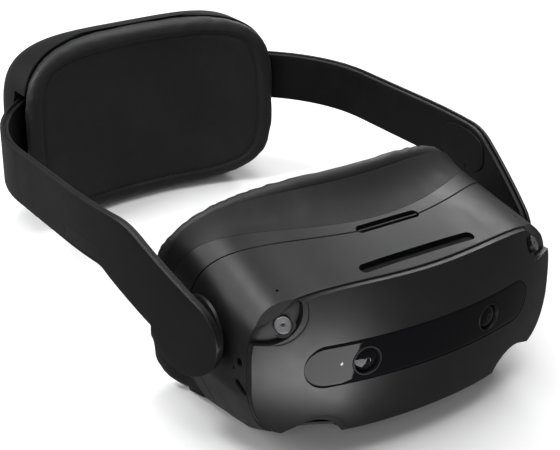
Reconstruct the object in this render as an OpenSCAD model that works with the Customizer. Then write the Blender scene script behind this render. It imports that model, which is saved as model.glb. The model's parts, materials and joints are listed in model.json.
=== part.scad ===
// Stand-alone VR headset: a visor on a rigid halo band with a padded battery pack at the back.
// Everything is drawn in the band's own frame: X to the wearer's left, Y from the visor's front to the
// back of the head, Z up, with the two colour cameras' centre at the origin. placed() then leans the
// whole headset back so that it stands on its cheek pads and on the pack, on the plane Z = 0.

/* [Resting pose] */
// Angle that the band leans back when the headset stands on a table
rest_tilt = 5; // [3:0.5:7]
// Distance from the camera centre back to the middle of the headset's length
middle_y = 134.93; // [120:0.01:150]
// Height of the camera centre over the table, measured before the lean
eye_height = 45.8; // [44:0.1:50]

/* [Visor] */
// Half the visor's width at its front
visor_half_w = 78.2; // [72:0.2:84]
// Widest level of the visor, above the camera centre
visor_mid_z = 1; // [-2:0.5:3]
// Radius of the curved front face
face_r = 195; // [170:5:240]
// Thickness of the front plate
plate_t = 2.4; // [1.6:0.1:3]
// Wall thickness of the visor's shells
wall = 2.2; // [1.6:0.1:3]
// Half length of the glossy camera window
window_half_w = 58.5; // [50:0.5:62]
// Half height of the camera window, which is also its end radius
window_r = 9.5; // [8:0.5:12]
// Half the distance between the two colour cameras
camera_half_gap = 32; // [28:0.5:36]
// Half length of the front vent
front_vent_half = 29.2; // [20:0.2:32]
// Half length of the rear vent
rear_vent_half = 16; // [10:0.5:20]

/* [Optics] */
// Half the distance between the eyes at rest
eye_half_gap = 32; // [30:0.5:34]
// Outer radius of a lens barrel
barrel_r = 22.5; // [20:0.5:24]
// Radius of the steel rods that the barrels slide on
rod_r = 1.5; // [1:0.1:2]

/* [Band] */
// Widest point of the band, from the middle
band_half_w = 100; // [96:1:104]
// Thickness of an arm's outer shell
arm_t = 1.5; // [1.2:0.1:2]
// Thickness of an arm's inner liner
liner_t = 1.4; // [1:0.1:2]
// Space between the two, where the strap's tongue slides
tongue_room = 1.1; // [1:0.1:1.6]
// Top of the band over the camera centre
band_top = 46; // [40:1:50]
// Bottom of the band over the camera centre
band_bottom = 19.5; // [16:0.5:24]
// Distance of the visor pivot behind the camera centre
pivot_y = 48; // [46:1:54]
// Height of the visor pivot over the camera centre
pivot_z = 7; // [3:1:8]
// Radius of the round end of an arm
paddle_r = 18; // [17:0.5:22]

/* [Pack] */
// Half the pack's width
pack_half_w = 72.8; // [66:0.2:78]
// Half the pack's height
pack_half_h = 48; // [42:0.5:52]
// Height of the pack's middle over the camera centre
pack_mid_z = 23.7; // [20:0.1:28]
// Distance of the pack's back behind the camera centre
pack_back_y = 268; // [262:1:276]
// Radius of the fit dial
dial_r = 17; // [14:0.5:20]

/* [Hidden] */
$fn = 64;

black = "#1b1b1d";
charcoal = "#2b2c2e";
rubber_black = "#161617";
gloss_black = "#08080a";
steel = "#a9adb2";
gap = 0.15;
slice_t = 1;
squareness_up = 3.2;
squareness_down = 3.6;
squareness_cheek = 5;
boss_r = 13.8;
lip_squareness = 2.7;
window_z = 0.8;
seam_r = 115;
seam_y = 29;
crease_r = 98;
crease_y = 35;
front_seam_y = face_r - 2.6;
eye_z = 3;
rod_z = eye_z + 26.5;
rod_ys = [36, 46];
bracket_x = 59;
proximity_z = 27.4;
pinion_module = 0.6;
pinion_teeth = 14;
fit_module = 1;
fit_teeth = 12;
fit_z = pack_mid_z;
rack_y = 253;

// ---------- placing ----------

// Leans the headset back and puts it on the table, in the middle of its own length.
module placed() {
    translate([0, -middle_y, eye_height])
        rotate([-rest_tilt, 0, 0])
            children();
}

// side is 1 on the +X half and -1 on the -X half.
module on_side(side) {
    if (side > 0) children();
    else mirror([1, 0, 0]) children();
}

// Turns the local +Z axis towards a direction.
module facing(direction) {
    rotate([0, acos(direction[2] / norm(direction)), atan2(direction[1], direction[0])])
        children();
}

// ---------- outlines ----------

function root(v, n) = sign(v) * pow(abs(v), 2 / n);

// Squared-off oval with its own height and squareness above and below its widest level.
function oval(half_w, up, down, n_up, n_down, steps) = [
    for (i = [0 : steps - 1])
        let (t = 360 * i / steps, n = sin(t) >= 0 ? n_up : n_down, h = sin(t) >= 0 ? up : down)
            [half_w * root(cos(t), n), h * root(sin(t), n)]
];

function arc(centre, r, from, to, steps) = [
    for (i = [0 : steps])
        let (t = from + (to - from) * i / steps)
            [centre[0] + r * cos(t), centre[1] + r * sin(t)]
];

function reversed(points) = [for (i = [len(points) - 1 : -1 : 0]) points[i]];

// Upright slice across the headset, centred on a distance y.
module slice(y, half_w, up, down, z = visor_mid_z, n_up = squareness_up, n_down = squareness_down) {
    translate([0, y, z])
        rotate([90, 0, 0])
            linear_extrude(slice_t, center = true)
                polygon(oval(half_w, up, down, n_up, n_down, 72));
}

// Upright cylinder of the headset's full height, used to cut curved seams.
module seam_cylinder(front_y, r) {
    translate([0, front_y + r, -100])
        cylinder(r = r, h = 220, $fn = 180);
}

// Straight slot with round ends, cut downwards.
module slot_cut(half_len, width, depth) {
    for (x = [-1, 1]) translate([x * (half_len - width / 2), 0, -depth / 2])
        cylinder(d = width, h = depth, $fn = 32);
    translate([-half_len + width / 2, -width / 2, -depth / 2])
        cube([2 * half_len - width, width, depth]);
}

// Pill-shaped block lying along X, thick along Y.
module pill(half_len, r, thick) {
    rotate([90, 0, 0])
        slot_cut(half_len, 2 * r, thick);
}

// Round bar along Y, from y1 to y2.
module bar_y(x, z, r, y1, y2, sides = 48) {
    translate([x, y2, z])
        rotate([90, 0, 0])
            cylinder(r = r, h = y2 - y1, $fn = sides);
}

// Round bar along X, from x1 to x2.
module bar_x(y, z, r, x1, x2, sides = 48) {
    translate([x1, y, z])
        rotate([0, 90, 0])
            cylinder(r = r, h = x2 - x1, $fn = sides);
}

// ---------- visor shape ----------

function visor_up(y) = 32 + 0.265 * y;
function visor_down(y) = 33.2 + 0.145 * y;
// the hood rises behind the crease, then runs level behind its rim
hood_rise = [[30, 37.7], [55, 52], [106, 52.8]];

// Outer form of the visor between its front and its rear seam.
module visor_form(inset) {
    hull() for (end = [[-6, squareness_down], [76, squareness_cheek]])
        slice(end[0], visor_half_w + 0.01 * end[0] - inset, visor_up(end[0]) - inset,
            visor_down(end[0]) - inset, n_down = end[1]);
}

// Outer form of the soft-edged hood that meets the face.
module hood_form(inset) {
    hull() for (p = hood_rise)
        slice(p[0], 78.4 + 0.02 * (p[0] - 30) - inset, p[1] - inset, visor_down(p[0]) - inset,
            n_down = squareness_cheek);
}

// Ball whose front is the curved face.
module face_ball(inset) {
    translate([0, front_seam_y, visor_mid_z])
        sphere(r = face_r - inset, $fn = 180);
}

// Room for the nose, open at the bottom and at the back.
module nose_gap(from_y) {
    bar_y(0, -34, 20, from_y, 120, 64);
    translate([-20, from_y, -70])
        cube([40, 120 - from_y, 36]);
}

// Everything above the table top, in the band's frame.
module above_table() {
    rotate([rest_tilt, 0, 0])
        translate([-120, -20, -eye_height])
            cube([240, 320, 160]);
}

// Corner tracking cameras on the +X half: position, direction.
corner_top = [66, 10, 22];
corner_top_way = [0.52, -0.70, 0.49];
corner_bottom = [53.5, 11.8, -27.7];
corner_bottom_way = [0.25, -0.60, -0.76];
corners = [[corner_top, corner_top_way], [corner_bottom, corner_bottom_way]];

module at_corner(corner) {
    translate(corner[0])
        facing(corner[1])
            children();
}

// Scallops that the front plate leaves open around the four corner cameras.
module plate_scallops() {
    for (side = [1, -1]) on_side(side) {
        bar_y(71.3, 27.6, 13.6, -20, 40, 64);
        bar_y(53.6, -38, 14.3, -20, 40, 64);
    }
}

module vents(grow) {
    translate([0, 10.3, 36])
        slot_cut(front_vent_half + grow, 5 + 2 * grow, 24);
    translate([0, 30.6, 40])
        slot_cut(rear_vent_half + grow, 4.6 + 2 * grow, 24);
}

module button_places() {
    for (x = [27, 39]) translate([x, 22, -34]) children();
}

module main_shell() {
    color(charcoal) difference() {
        union() {
            difference() {
                intersection() {
                    visor_form(0);
                    face_ball(plate_t + gap);
                }
                intersection() {
                    visor_form(wall);
                    face_ball(plate_t + gap + wall);
                }
            }
            intersection() {
                visor_form(0.4);
                face_ball(plate_t + 0.4);
                for (side = [1, -1], corner = corners) on_side(side) at_corner(corner)
                    translate([0, 0, -4])
                        cylinder(r = 13, h = 20, $fn = 48);
            }
        }
        seam_cylinder(seam_y, seam_r);
        vents(0);
        // flat facets and bores of the corner cameras
        for (side = [1, -1], corner = corners) on_side(side) at_corner(corner) {
            cylinder(r = 24, h = 20, $fn = 48);
            translate([0, 0, -20])
                cylinder(r = 5.3, h = 24, $fn = 48);
        }
        // opening behind the camera window, with the two camera bores
        translate([0, 4, window_z])
            pill(window_half_w - 2.5, window_r - 2.5, 30);
        for (side = [1, -1]) colour_camera_place(side)
            translate([0, 0, -14]) cylinder(r = 7.55, h = 14);
        // sockets on the -X wall and the power button on the +X wall
        bar_x(22, 3.8, 2.1, -90, -70);
        translate([-78, 21, -7.2]) rotate([25, 0, 0]) rotate([0, 0, 90]) rotate([90, 0, 0])
            linear_extrude(24, center = true) usb_outline(0.1);
        bar_x(22, 3.8, 3.3, 70, 90);
        // volume buttons in the underside
        button_places() translate([0, 0, -8]) cylinder(r = 2.8, h = 16);
        // pin-hole microphones
        for (x = [-62, 62]) translate([x, 20, 20]) cylinder(r = 0.5, h = 30, $fn = 16);
        hub_bores();
    }
}

module usb_outline(grow) {
    for (x = [-1, 1]) translate([x * 2.84, 0]) circle(r = 1.63 + grow, $fn = 32);
    square([5.68, 3.26 + 2 * grow], center = true);
}

module hub_bores() {
    for (side = [1, -1]) on_side(side) bar_x(pivot_y, pivot_z, 12.05, 70, 90);
}

module rear_shell() {
    color(charcoal) difference() {
        visor_form(0);
        visor_form(wall);
        difference() {
            translate([-100, -20, -80]) cube([200, 140, 160]);
            seam_cylinder(seam_y + gap, seam_r - gap);
        }
        seam_cylinder(crease_y, crease_r);
        vents(0);
        hub_bores();
        nose_gap(26);
    }
}

module front_plate() {
    color(charcoal) difference() {
        intersection() {
            visor_form(0);
            face_ball(0);
        }
        face_ball(plate_t);
        translate([0, 0, window_z]) pill(window_half_w, window_r, 40);
        plate_scallops();
        for (side = [1, -1], corner = corners) on_side(side) at_corner(corner)
            translate([0, 0, -20]) cylinder(r = 5.35, h = 24, $fn = 48);
    }
}

module colour_camera_place(side) {
    on_side(side) translate([camera_half_gap, 0, 0]) facing([camera_half_gap, -front_seam_y, 0])
        children();
}

module camera_window() {
    color(gloss_black) difference() {
        intersection() {
            face_ball(0.1);
            translate([0, 0, window_z]) pill(window_half_w - gap, window_r - gap, 40);
        }
        face_ball(plate_t + 0.1);
        for (side = [1, -1]) colour_camera_place(side)
            translate([0, 0, -10]) cylinder(r = 6.75, h = 20);
        translate([-43, 6, 1]) rotate([90, 0, 0]) cylinder(r = 0.72, h = 12, $fn = 24);
    }
}

module status_light() {
    color("#dfe6ea") bar_y(-43, 1, 0.7, 2.3, 4.4, 24);
}

module vent_screens() {
    color(black) {
        difference() {
            translate([-front_vent_half - 1.5, 7.6, 30.6]) cube([2 * front_vent_half + 3, 6.6, 0.9]);
            for (i = [-13 : 13]) translate([i * 2.1, 10.3, 29]) cylinder(r = 0.7, h = 4, $fn = 16);
        }
        translate([-rear_vent_half + 1, 30.1, 37.4]) cube([2 * rear_vent_half - 2, 1, 1.6]);
        translate([-rear_vent_half - 1.4, 28, 36.4]) cube([2 * rear_vent_half + 2.8, 5.2, 1]);
    }
}

// ---------- cameras ----------

module colour_camera(side) {
    color(black) colour_camera_place(side) difference() {
        union() {
            translate([0, 0, -9]) cylinder(r = 6.6, h = 8.8);
            translate([0, 0, -9]) cylinder(r = 7.4, h = 5.5);
        }
        translate([0, 0, -2.6]) cylinder(r = 5.4, h = 4);
    }
}

module colour_lens(side) {
    color(gloss_black) colour_camera_place(side) intersection() {
        translate([0, 0, -2.6]) cylinder(r = 5.35, h = 4);
        translate([0, 0, -10.6]) sphere(r = 10.5, $fn = 96);
    }
}

module tracking_camera(side, corner) {
    color(black) on_side(side) at_corner(corner) difference() {
        union() {
            translate([0, 0, -11]) cylinder(r = 5.2, h = 11.6);
            translate([-5, -5, -13]) cube([10, 10, 4]);
        }
        translate([0, 0, -2.4]) cylinder(r = 3.9, h = 4);
    }
}

module tracking_lenses() {
    color(gloss_black) for (side = [1, -1], corner = corners) on_side(side) at_corner(corner)
        intersection() {
            translate([0, 0, -2.4]) cylinder(r = 3.85, h = 3);
            translate([0, 0, -7.6]) sphere(r = 7.6, $fn = 96);
        }
}

// ---------- inside the visor ----------

posts = [[66, 16], [66, -16]];

module chassis() {
    color("#5b5e63") difference() {
        union() {
            intersection() {
                visor_form(wall + 0.4);
                translate([-90, 26, -60]) cube([180, 1.6, 120]);
            }
            for (side = [1, -1], p = posts) bar_y(side * p[0], p[1], 2.4, 27, 50.9, 32);
            // the pinion's pin, on a boss that the front rod runs through
            bar_y(0, rod_z, 2.7, 27, 38.6, 32);
            bar_y(0, rod_z, 1, 38, 43.4, 32);
            // rod brackets
            intersection() {
                visor_form(wall + 0.4);
                for (side = [1, -1]) translate([side * bracket_x - 2, 27, rod_z - 4]) cube([4, 23, 8]);
            }
        }
        for (side = [1, -1], p = posts) bar_y(side * p[0], p[1], 0.92, 42, 60, 24);
        for (y = rod_ys) bar_x(y, rod_z, rod_r, -bracket_x - 5, bracket_x + 5, 32);
        for (x = [-40, -13, 13, 40]) bar_y(x, -22, 3, 20, 30, 32);
        bar_y(0, 10, 6, 20, 30, 32);
        nose_gap(25);
        // hubs reach in beside the plate
        for (side = [1, -1]) on_side(side) bar_x(pivot_y, pivot_z, 13, 68, 90);
    }
}

module mainboard() {
    color("#1f4a33") translate([-48, 21, -18]) cube([96, 1.2, 40]);
    color(black) {
        translate([-12, 19.4, -12]) cube([24, 1.6, 24]);
        for (x = [-36, 24]) translate([x, 19.8, -6]) cube([12, 1.2, 14]);
        for (x = [-44 : 8 : 44]) translate([x - 1.5, 22.2, 12]) cube([3, 1.4, 4]);
    }
}

module heat_sink() {
    color("#8c9095") {
        translate([-17, 17.4, -17]) cube([34, 2, 30]);
        for (x = [-16.5 : 3 : 16.5]) translate([x, 8, -17]) cube([0.9, 9.5, 20]);
    }
}

fan_z = 16.8;

module fan_housing() {
    color(black) difference() {
        translate([-15, 7, fan_z - 13.6]) cube([30, 9.8, 27.2]);
        bar_y(0, fan_z, 12.6, 6, 15.2);
        bar_y(0, fan_z, 9, 15, 18);
        bar_y(0, fan_z, 1, 14, 18, 32);
    }
    color(black) {
        bar_y(0, fan_z, 3, 15.2, 16.8, 32);
        for (t = [0, 120, 240]) translate([0, 16.8, fan_z]) rotate([0, t, 0]) rotate([90, 0, 0])
            translate([2, -0.7, 0]) cube([8.5, 1.4, 1.6]);
        bar_y(0, fan_z, 1, 9, 15.4, 32);
    }
}

module fan_rotor() {
    color("#3c3e42") difference() {
        union() {
            bar_y(0, fan_z, 4.4, 8.4, 14.6);
            for (t = [0 : 45 : 315]) translate([0, 11.6, fan_z]) rotate([0, t, 0])
                translate([3.8, -2.6, -0.5]) rotate([22, 0, 0]) cube([7.6, 5.2, 0.8]);
        }
        bar_y(0, fan_z, 1.05, 8, 15, 32);
    }
}

// One toothed outline, drawn around the origin, for a wheel that has a tooth pointing up and down.
function wheel_points(module_size, teeth) = [
    for (i = [0 : teeth - 1], k = [0 : 3])
        let (
            r = module_size * teeth / 2,
            half = [-0.31, -0.1, 0.1, 0.31][k],
            reach = [-1.2, 0.9, 0.9, -1.2][k],
            t = 90 + 360 * (i + half) / teeth
        )
            [(r + module_size * reach) * cos(t), (r + module_size * reach) * sin(t)]
];

// Rack teeth that point down, from x1 to x2, on a bar of the given height.
function rack_points(module_size, x1, x2, height) =
    let (pitch = PI * module_size, first = ceil(x1 / pitch), last = floor(x2 / pitch) - 1)
        concat(
            [[x1, height], [x1, 1.2 * module_size]],
            [for (i = [first : last], k = [0 : 3])
                [pitch * (i + 0.5 + [-0.31, -0.1, 0.1, 0.31][k]),
                    module_size * [1.2, -0.9, -0.9, 1.2][k]]],
            [[x2, 1.2 * module_size], [x2, height]]
        );

module wheel_y(module_size, teeth, y1, y2) {
    translate([0, y2, 0]) rotate([90, 0, 0])
        linear_extrude(y2 - y1) polygon(wheel_points(module_size, teeth));
}

// Rack over a wheel at the origin: way is 1 above it, and -1 below it and turned end for end.
module rack_y(module_size, teeth, x1, x2, height, y1, y2, way) {
    rotate([0, way > 0 ? 0 : 180, 0]) translate([0, y2, module_size * teeth / 2]) rotate([90, 0, 0])
        linear_extrude(y2 - y1) polygon(rack_points(module_size, x1, x2, height));
}

module eye_gap_pinion() {
    color(steel) translate([0, 0, rod_z]) difference() {
        wheel_y(pinion_module, pinion_teeth, 39.6, 42.4);
        bar_y(0, 0, 1.05, 39, 43, 32);
    }
}

module lens_barrel(side) {
    color(black) {
        on_side(side) difference() {
            union() {
                bar_y(eye_half_gap, eye_z, barrel_r, 30.6, 50, 72);
                translate([eye_half_gap - 7, 33, rod_z - 8]) cube([14, 16, 14]);
            }
            bar_y(eye_half_gap, eye_z, barrel_r - 2, 30, 40, 72);
            bar_y(eye_half_gap, eye_z, barrel_r - 3, 39.9, 51, 72);
            for (y = rod_ys) bar_x(y, rod_z, rod_r + 0.06, 20, 44, 32);
        }
        translate([0, 0, rod_z]) rack_y(pinion_module, pinion_teeth, -9, 25.5, 2.6, 39.8, 42.2, side);
    }
}

module eye_lens(side) {
    color("#3d4650") on_side(side) intersection() {
        bar_y(eye_half_gap, eye_z, barrel_r - 3.05, 42, 50, 72);
        translate([eye_half_gap, 12.5, eye_z]) sphere(r = 36.5, $fn = 128);
    }
}

module display(side) {
    color("#101418") on_side(side) {
        translate([eye_half_gap - 15, 29, eye_z - 15]) cube([30, 1.6, 30]);
        bar_y(eye_half_gap, eye_z, barrel_r - 2.05, 30.6, 32, 72);
    }
}

module slide_rods() {
    color(steel) for (y = rod_ys) bar_x(y, rod_z, rod_r, -bracket_x - 2, bracket_x + 2, 32);
}

// The panel round the eye lenses: its middle stays inside the pad's opening, its sides reach the posts.
module eyepiece_panel() {
    color(black) difference() {
        intersection() {
            visor_form(wall + 2.6);
            translate([-71, 51, -60]) cube([142, 1.6, 130]);
            union() {
                eye_opening(50, 54, -2.6);
                for (side = [1, -1]) on_side(side) translate([36, 50, -60]) cube([40, 4, 130]);
            }
        }
        for (side = [1, -1]) translate([side * (eye_half_gap + 0.5), 51, eye_z])
            pill(barrel_r + 5.6, barrel_r + 0.8, 10);
        nose_gap(40);
        for (side = [1, -1], p = posts) bar_y(side * p[0], p[1], 1.1, 50, 60, 24);
        bar_y(0, proximity_z, 2.65, 50, 60, 32);
    }
}

module proximity_window() {
    color(gloss_black) bar_y(0, proximity_z, 2.6, 50.6, 52.9, 32);
}

module visor_screws() {
    color(steel) for (side = [1, -1], p = posts) {
        bar_y(side * p[0], p[1], 0.9, 44, 52.7, 24);
        difference() {
            bar_y(side * p[0], p[1], 1.9, 52.6, 53.6, 32);
            translate([side * p[0], 53.8, p[1]]) rotate([90, 0, 0]) cylinder(r = 0.9, h = 0.8, $fn = 6);
        }
    }
}

module usb_port() {
    color(steel) intersection() {
        face_ball(plate_t + gap);
        translate([-78.2, 21, -7.2]) rotate([25, 0, 0]) rotate([90, 0, 90]) {
            difference() {
                linear_extrude(7.5) usb_outline(0);
                translate([0, 0, -1]) linear_extrude(7.5) usb_outline(-0.35);
            }
            translate([-3.1, -0.35, 0.8]) cube([6.2, 0.7, 6]);
        }
    }
}

module audio_jack() {
    color(steel) difference() {
        union() {
            bar_x(22, 3.8, 2.05, -78.3, -70);
            bar_x(22, 3.8, 3.2, -75.8, -62);
        }
        bar_x(22, 3.8, 1.78, -79, -65);
    }
}

// ---------- buttons ----------

module power_button() {
    color(black) {
        bar_x(22, 3.8, 3.15, 75, 78.5);
        bar_x(22, 3.8, 3.85, 74, 75.2);
    }
}

module volume_button(x, bottom) {
    color(black) {
        translate([x, 22, bottom]) cylinder(r = 2.65, h = 4, $fn = 48);
        translate([x, 22, bottom + 3.4]) cylinder(r = 3.5, h = 1.2, $fn = 48);
    }
}

// ---------- pivots ----------

module pivot_hub(side) {
    color(charcoal) on_side(side) difference() {
        union() {
            bar_x(pivot_y, pivot_z, boss_r, 79, 80.3, 72);
            bar_x(pivot_y, pivot_z, 12, 71, 79.2, 72);
            bar_x(pivot_y, pivot_z, 3, 79, 86.6);
        }
        bar_x(pivot_y, pivot_z, 8, 70, 77);
    }
}

// ---------- face interface ----------

module eye_opening(y1, y2, grow) {
    translate([0, y2, eye_z]) rotate([90, 0, 0])
        linear_extrude(y2 - y1) polygon(oval(63 + grow, 31 + grow, 25 + grow, 2.6, 2.6, 48));
}

magnets = [[57, 33.5], [69, -6]];
flange_y = 48.5;

function flange_front(x) = 183 - sqrt(pow(183 - flange_y, 2) - x * x);

module magnet_bars(r) {
    for (side = [1, -1], m = magnets)
        bar_y(side * m[0], m[1], r, flange_front(m[0]) - 1.4, flange_front(m[0]) + 0.6, 32);
}

module face_frame() {
    color(black) intersection() {
        difference() {
            union() {
                difference() {
                    hood_form(0);
                    hood_form(2.4);
                }
                difference() {
                    hood_form(1);
                    seam_cylinder(flange_y + 2, 183 - flange_y - 2);
                    difference() {
                        translate([-100, -20, -80]) cube([200, 160, 180]);
                        seam_cylinder(flange_y, 183 - flange_y);
                    }
                }
            }
            difference() {
                translate([-100, -20, -80]) cube([200, 160, 180]);
                seam_cylinder(crease_y + gap, crease_r - gap);
            }
            seam_cylinder(54, 129);
            eye_opening(20, 120, 0);
            nose_gap(26);
            magnet_bars(3.05);
        }
        above_table();
    }
}

module face_magnets() {
    color(steel) magnet_bars(3);
}

// The pad: a lip that stands out around the frame's edge, on a block that fills the frame's mouth.
module face_cushion() {
    color(rubber_black) intersection() {
        difference() {
            union() {
                intersection() {
                    hull() {
                        slice(54, 79.9, 54, visor_down(54) - 0.4, n_up = lip_squareness,
                            n_down = squareness_cheek);
                        slice(62, 81.2, 58.6, visor_down(62), n_up = lip_squareness,
                            n_down = squareness_cheek);
                        slice(104, 83.2, 58.6, visor_down(104) - 1, n_up = lip_squareness,
                            n_down = squareness_cheek);
                    }
                    seam_cylinder(54.1, 129);
                }
                hood_form(2.7);
            }
            // back face, and the front where it meets the flange
            seam_cylinder(61, 122);
            difference() {
                translate([-100, -20, -80]) cube([200, 160, 180]);
                seam_cylinder(flange_y + 2.1, 183 - flange_y - 2.1);
            }
            eye_opening(20, 120, -2);
            nose_gap(26);
        }
        above_table();
    }
}

// ---------- band ----------

front_arc_r = 306;
front_arc_y = 128;
bend_r = 80;
split_y = 178;
tongue_in = 36;
arm_all_t = arm_t + tongue_room + liner_t;
strap_tip = 62;
slope = 29;

// Top view of the band's outer face, moved inwards by inset, from its front to its tip.
function band_line(inset, tip) = concat(
    arc([band_half_w - front_arc_r, front_arc_y], front_arc_r - inset, -21, 0, 12),
    arc([band_half_w - bend_r, split_y], bend_r - inset, 0, tip, 16)
);

// Upright strip that follows the band, between two depths under its outer face.
module band_strip(outer, inner, tip = strap_tip) {
    translate([0, 0, -40]) linear_extrude(120)
        polygon(concat(band_line(outer, tip), reversed(band_line(inner, tip))));
}

// Prism along X of a side-view outline, on the +X half.
module side_prism() {
    translate([40, 0, 0]) rotate([90, 0, 90]) linear_extrude(80) children();
}

// Side view of an arm: a round end on the pivot, a sloping neck and a level band.
module arm_outline(inset, y_end) {
    up = band_top - inset;
    low = band_bottom + inset;
    r = paddle_r - inset;
    start = [pivot_y + r * cos(90 + slope), pivot_z + r * sin(90 + slope)];
    fillet = 30;
    corner_y = start[0] + (up - start[1]) / tan(slope);
    touch = fillet * tan(slope / 2);
    polygon(concat(
        arc([pivot_y, pivot_z], r, 90 + slope, 352, 44),
        arc([98 + 12 * tan(17) - inset, low - 12], 12, 124, 90, 6),
        [[y_end, low], [y_end, up]],
        arc([corner_y + touch, up - fillet], fillet, 90, 90 + slope, 8)
    ));
}

module arm(side) {
    color(charcoal) on_side(side) difference() {
        intersection() {
            union() {
                band_strip(0, arm_t);
                intersection() {
                    band_strip(0, 14);
                    bar_x(pivot_y, pivot_z, boss_r, 80.6, 100, 72);
                }
            }
            side_prism() arm_outline(0, split_y - gap);
        }
        bar_x(pivot_y, pivot_z, 3.06, 70, 87);
        if (side < 0) inlay_block(0, 0.62, 0);
    }
}

module arm_liner(side) {
    color(black) on_side(side) difference() {
        intersection() {
            band_strip(arm_t + 0.02, arm_all_t);
            side_prism() arm_outline(0.8, split_y - gap);
        }
        bar_x(pivot_y, pivot_z, boss_r + 0.2, 70, 100, 72);
        // channel for the strap's tongue
        translate([band_half_w - arm_t - tongue_room, split_y - tongue_in - 2, band_bottom + 2.5])
            cube([tongue_room + 1, 60, band_top - band_bottom - 5]);
    }
}

module pod_outline(inset) {
    y1 = 74 + inset;
    z1 = 22.5 + inset;
    polygon([[y1 + 8, z1], [y1 + 34, z1], [y1 + 36, 44 - inset], [y1 + 12, 44 - inset], [y1 + 2, 38]]);
}

// Speaker pod on the inner face of each arm.
module speaker(side) {
    color(black) on_side(side) difference() {
        intersection() {
            band_strip(arm_all_t + 0.02, arm_all_t + 5);
            side_prism() pod_outline(0);
        }
        for (i = [0 : 4]) translate([92, 88 + 4.2 * i, 18]) cylinder(r = 0.8, h = 8, $fn = 16);
    }
}

module inlay_block(outer, inner, inset) {
    intersection() {
        band_strip(outer, inner);
        side_prism() translate([99 + inset, 20.8 + inset]) square([31 - 2 * inset, 7.4 - 2 * inset]);
    }
}

// Blank plate let into the outside of the left arm.
module arm_inlay() {
    color("#c9ccd0") on_side(-1) inlay_block(0.04, 0.6, 0.1);
}

// Rear length of the band: rigid here, it carries a flat tongue that slides inside the arm.
module strap(side) {
    color(charcoal) on_side(side) {
        intersection() {
            band_strip(0, arm_all_t);
            translate([40, split_y, band_bottom]) cube([80, 90, band_top - band_bottom]);
        }
        translate([band_half_w - arm_t - tongue_room + 0.1, split_y - tongue_in, band_bottom + 3])
            cube([tongue_room - 0.2, tongue_in + 1, band_top - band_bottom - 6]);
    }
}

// ---------- pack ----------

pack_hollow_r = 138;
pack_shoulder_y = pack_back_y - 21;
pack_centre_y = 112;
cushion_face_r = 155;

module pack_slice(y, half_w, half_h) {
    slice(y, half_w, half_h, half_h, pack_mid_z, 4, 4);
}

module pack_form(inset) {
    translate([0, pack_shoulder_y - inset, pack_mid_z]) rotate([90, 0, 0])
        linear_extrude(pack_shoulder_y - inset - 209)
            polygon(oval(pack_half_w - inset, pack_half_h - inset, pack_half_h - inset, 4, 4, 72));
    hull() {
        pack_slice(pack_shoulder_y - inset, pack_half_w - inset, pack_half_h - inset);
        pack_slice(pack_back_y - 6 - inset, pack_half_w - 5 - inset, pack_half_h - 4 - inset);
        pack_slice(pack_back_y - slice_t / 2 - inset, pack_half_w - 13 - inset, pack_half_h - 11 - inset);
    }
}

// Upright cylinder with the pack's hollow curve.
module pack_curve(r) {
    translate([0, pack_centre_y, -60]) cylinder(r = r, h = 160, $fn = 180);
}

module strap_slots() {
    for (side = [1, -1]) on_side(side)
        translate([56, 222, band_bottom - 1.5]) cube([20, 18.4, band_top - band_bottom + 3]);
}

module pack_housing() {
    color(charcoal) difference() {
        union() {
            difference() {
                pack_form(0);
                pack_form(2.2);
            }
            bar_y(0, fit_z, dial_r + 2.4, pack_back_y - 6, pack_back_y - 0.5, 72);
        }
        pack_curve(pack_hollow_r + 0.3);
        strap_slots();
        bar_y(0, fit_z, dial_r + 0.4, pack_back_y - 4, pack_back_y + 6, 72);
        bar_y(0, fit_z, 3.06, pack_back_y - 10, pack_back_y, 32);
    }
}

module pack_tray() {
    color(black) difference() {
        intersection() {
            pack_form(2.35);
            pack_curve(pack_hollow_r + 2.3);
        }
        pack_curve(pack_hollow_r + 0.2);
        strap_slots();
    }
}

module rear_cushion() {
    color(rubber_black) difference() {
        intersection() {
            translate([0, 262, pack_mid_z]) rotate([90, 0, 0]) linear_extrude(60)
                polygon(oval(pack_half_w - 0.3, pack_half_h - 0.2, pack_half_h - 0.2, 4, 4, 96));
            pack_curve(pack_hollow_r);
        }
        translate([0, 240 - cushion_face_r, -60]) cylinder(r = cushion_face_r, h = 160, $fn = 180);
    }
}

module battery_cells() {
    color("#3a4d63") for (side = [1, -1]) on_side(side)
        translate([22, 256.8, pack_mid_z - 27]) cube([32, 6.2, 54]);
}

module charge_board() {
    color("#1f4a33") translate([-14, 257, pack_mid_z - 40]) cube([28, 1.2, 18]);
    color(black) translate([-6, 258.2, pack_mid_z - 36]) cube([12, 1.2, 8]);
}

module fit_dial() {
    color(black) {
        difference() {
            bar_y(0, fit_z, dial_r, pack_back_y - 3.8, pack_back_y + 2.6, 96);
            for (t = [0 : 15 : 345]) translate([0, 0, fit_z]) rotate([0, t, 0])
                bar_y(dial_r + 0.9, 0, 1.6, pack_back_y - 2, pack_back_y + 4, 24);
            bar_y(0, fit_z, dial_r - 4, pack_back_y + 1.6, pack_back_y + 4, 72);
        }
        bar_y(0, fit_z, 3, rack_y - 0.2, pack_back_y - 3.6, 32);
    }
}

module fit_pinion() {
    color(steel) translate([0, 0, fit_z]) difference() {
        wheel_y(fit_module, fit_teeth, rack_y, rack_y + 2.6);
        bar_y(0, 0, 3, rack_y - 1, rack_y + 4, 32);
    }
}

module rack(side) {
    color("#4a4c50") translate([0, 0, fit_z])
        rack_y(fit_module, fit_teeth, -30, 40, 5, rack_y + 0.1, rack_y + 2.5, side);
}

// ---------- the headset ----------

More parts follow.
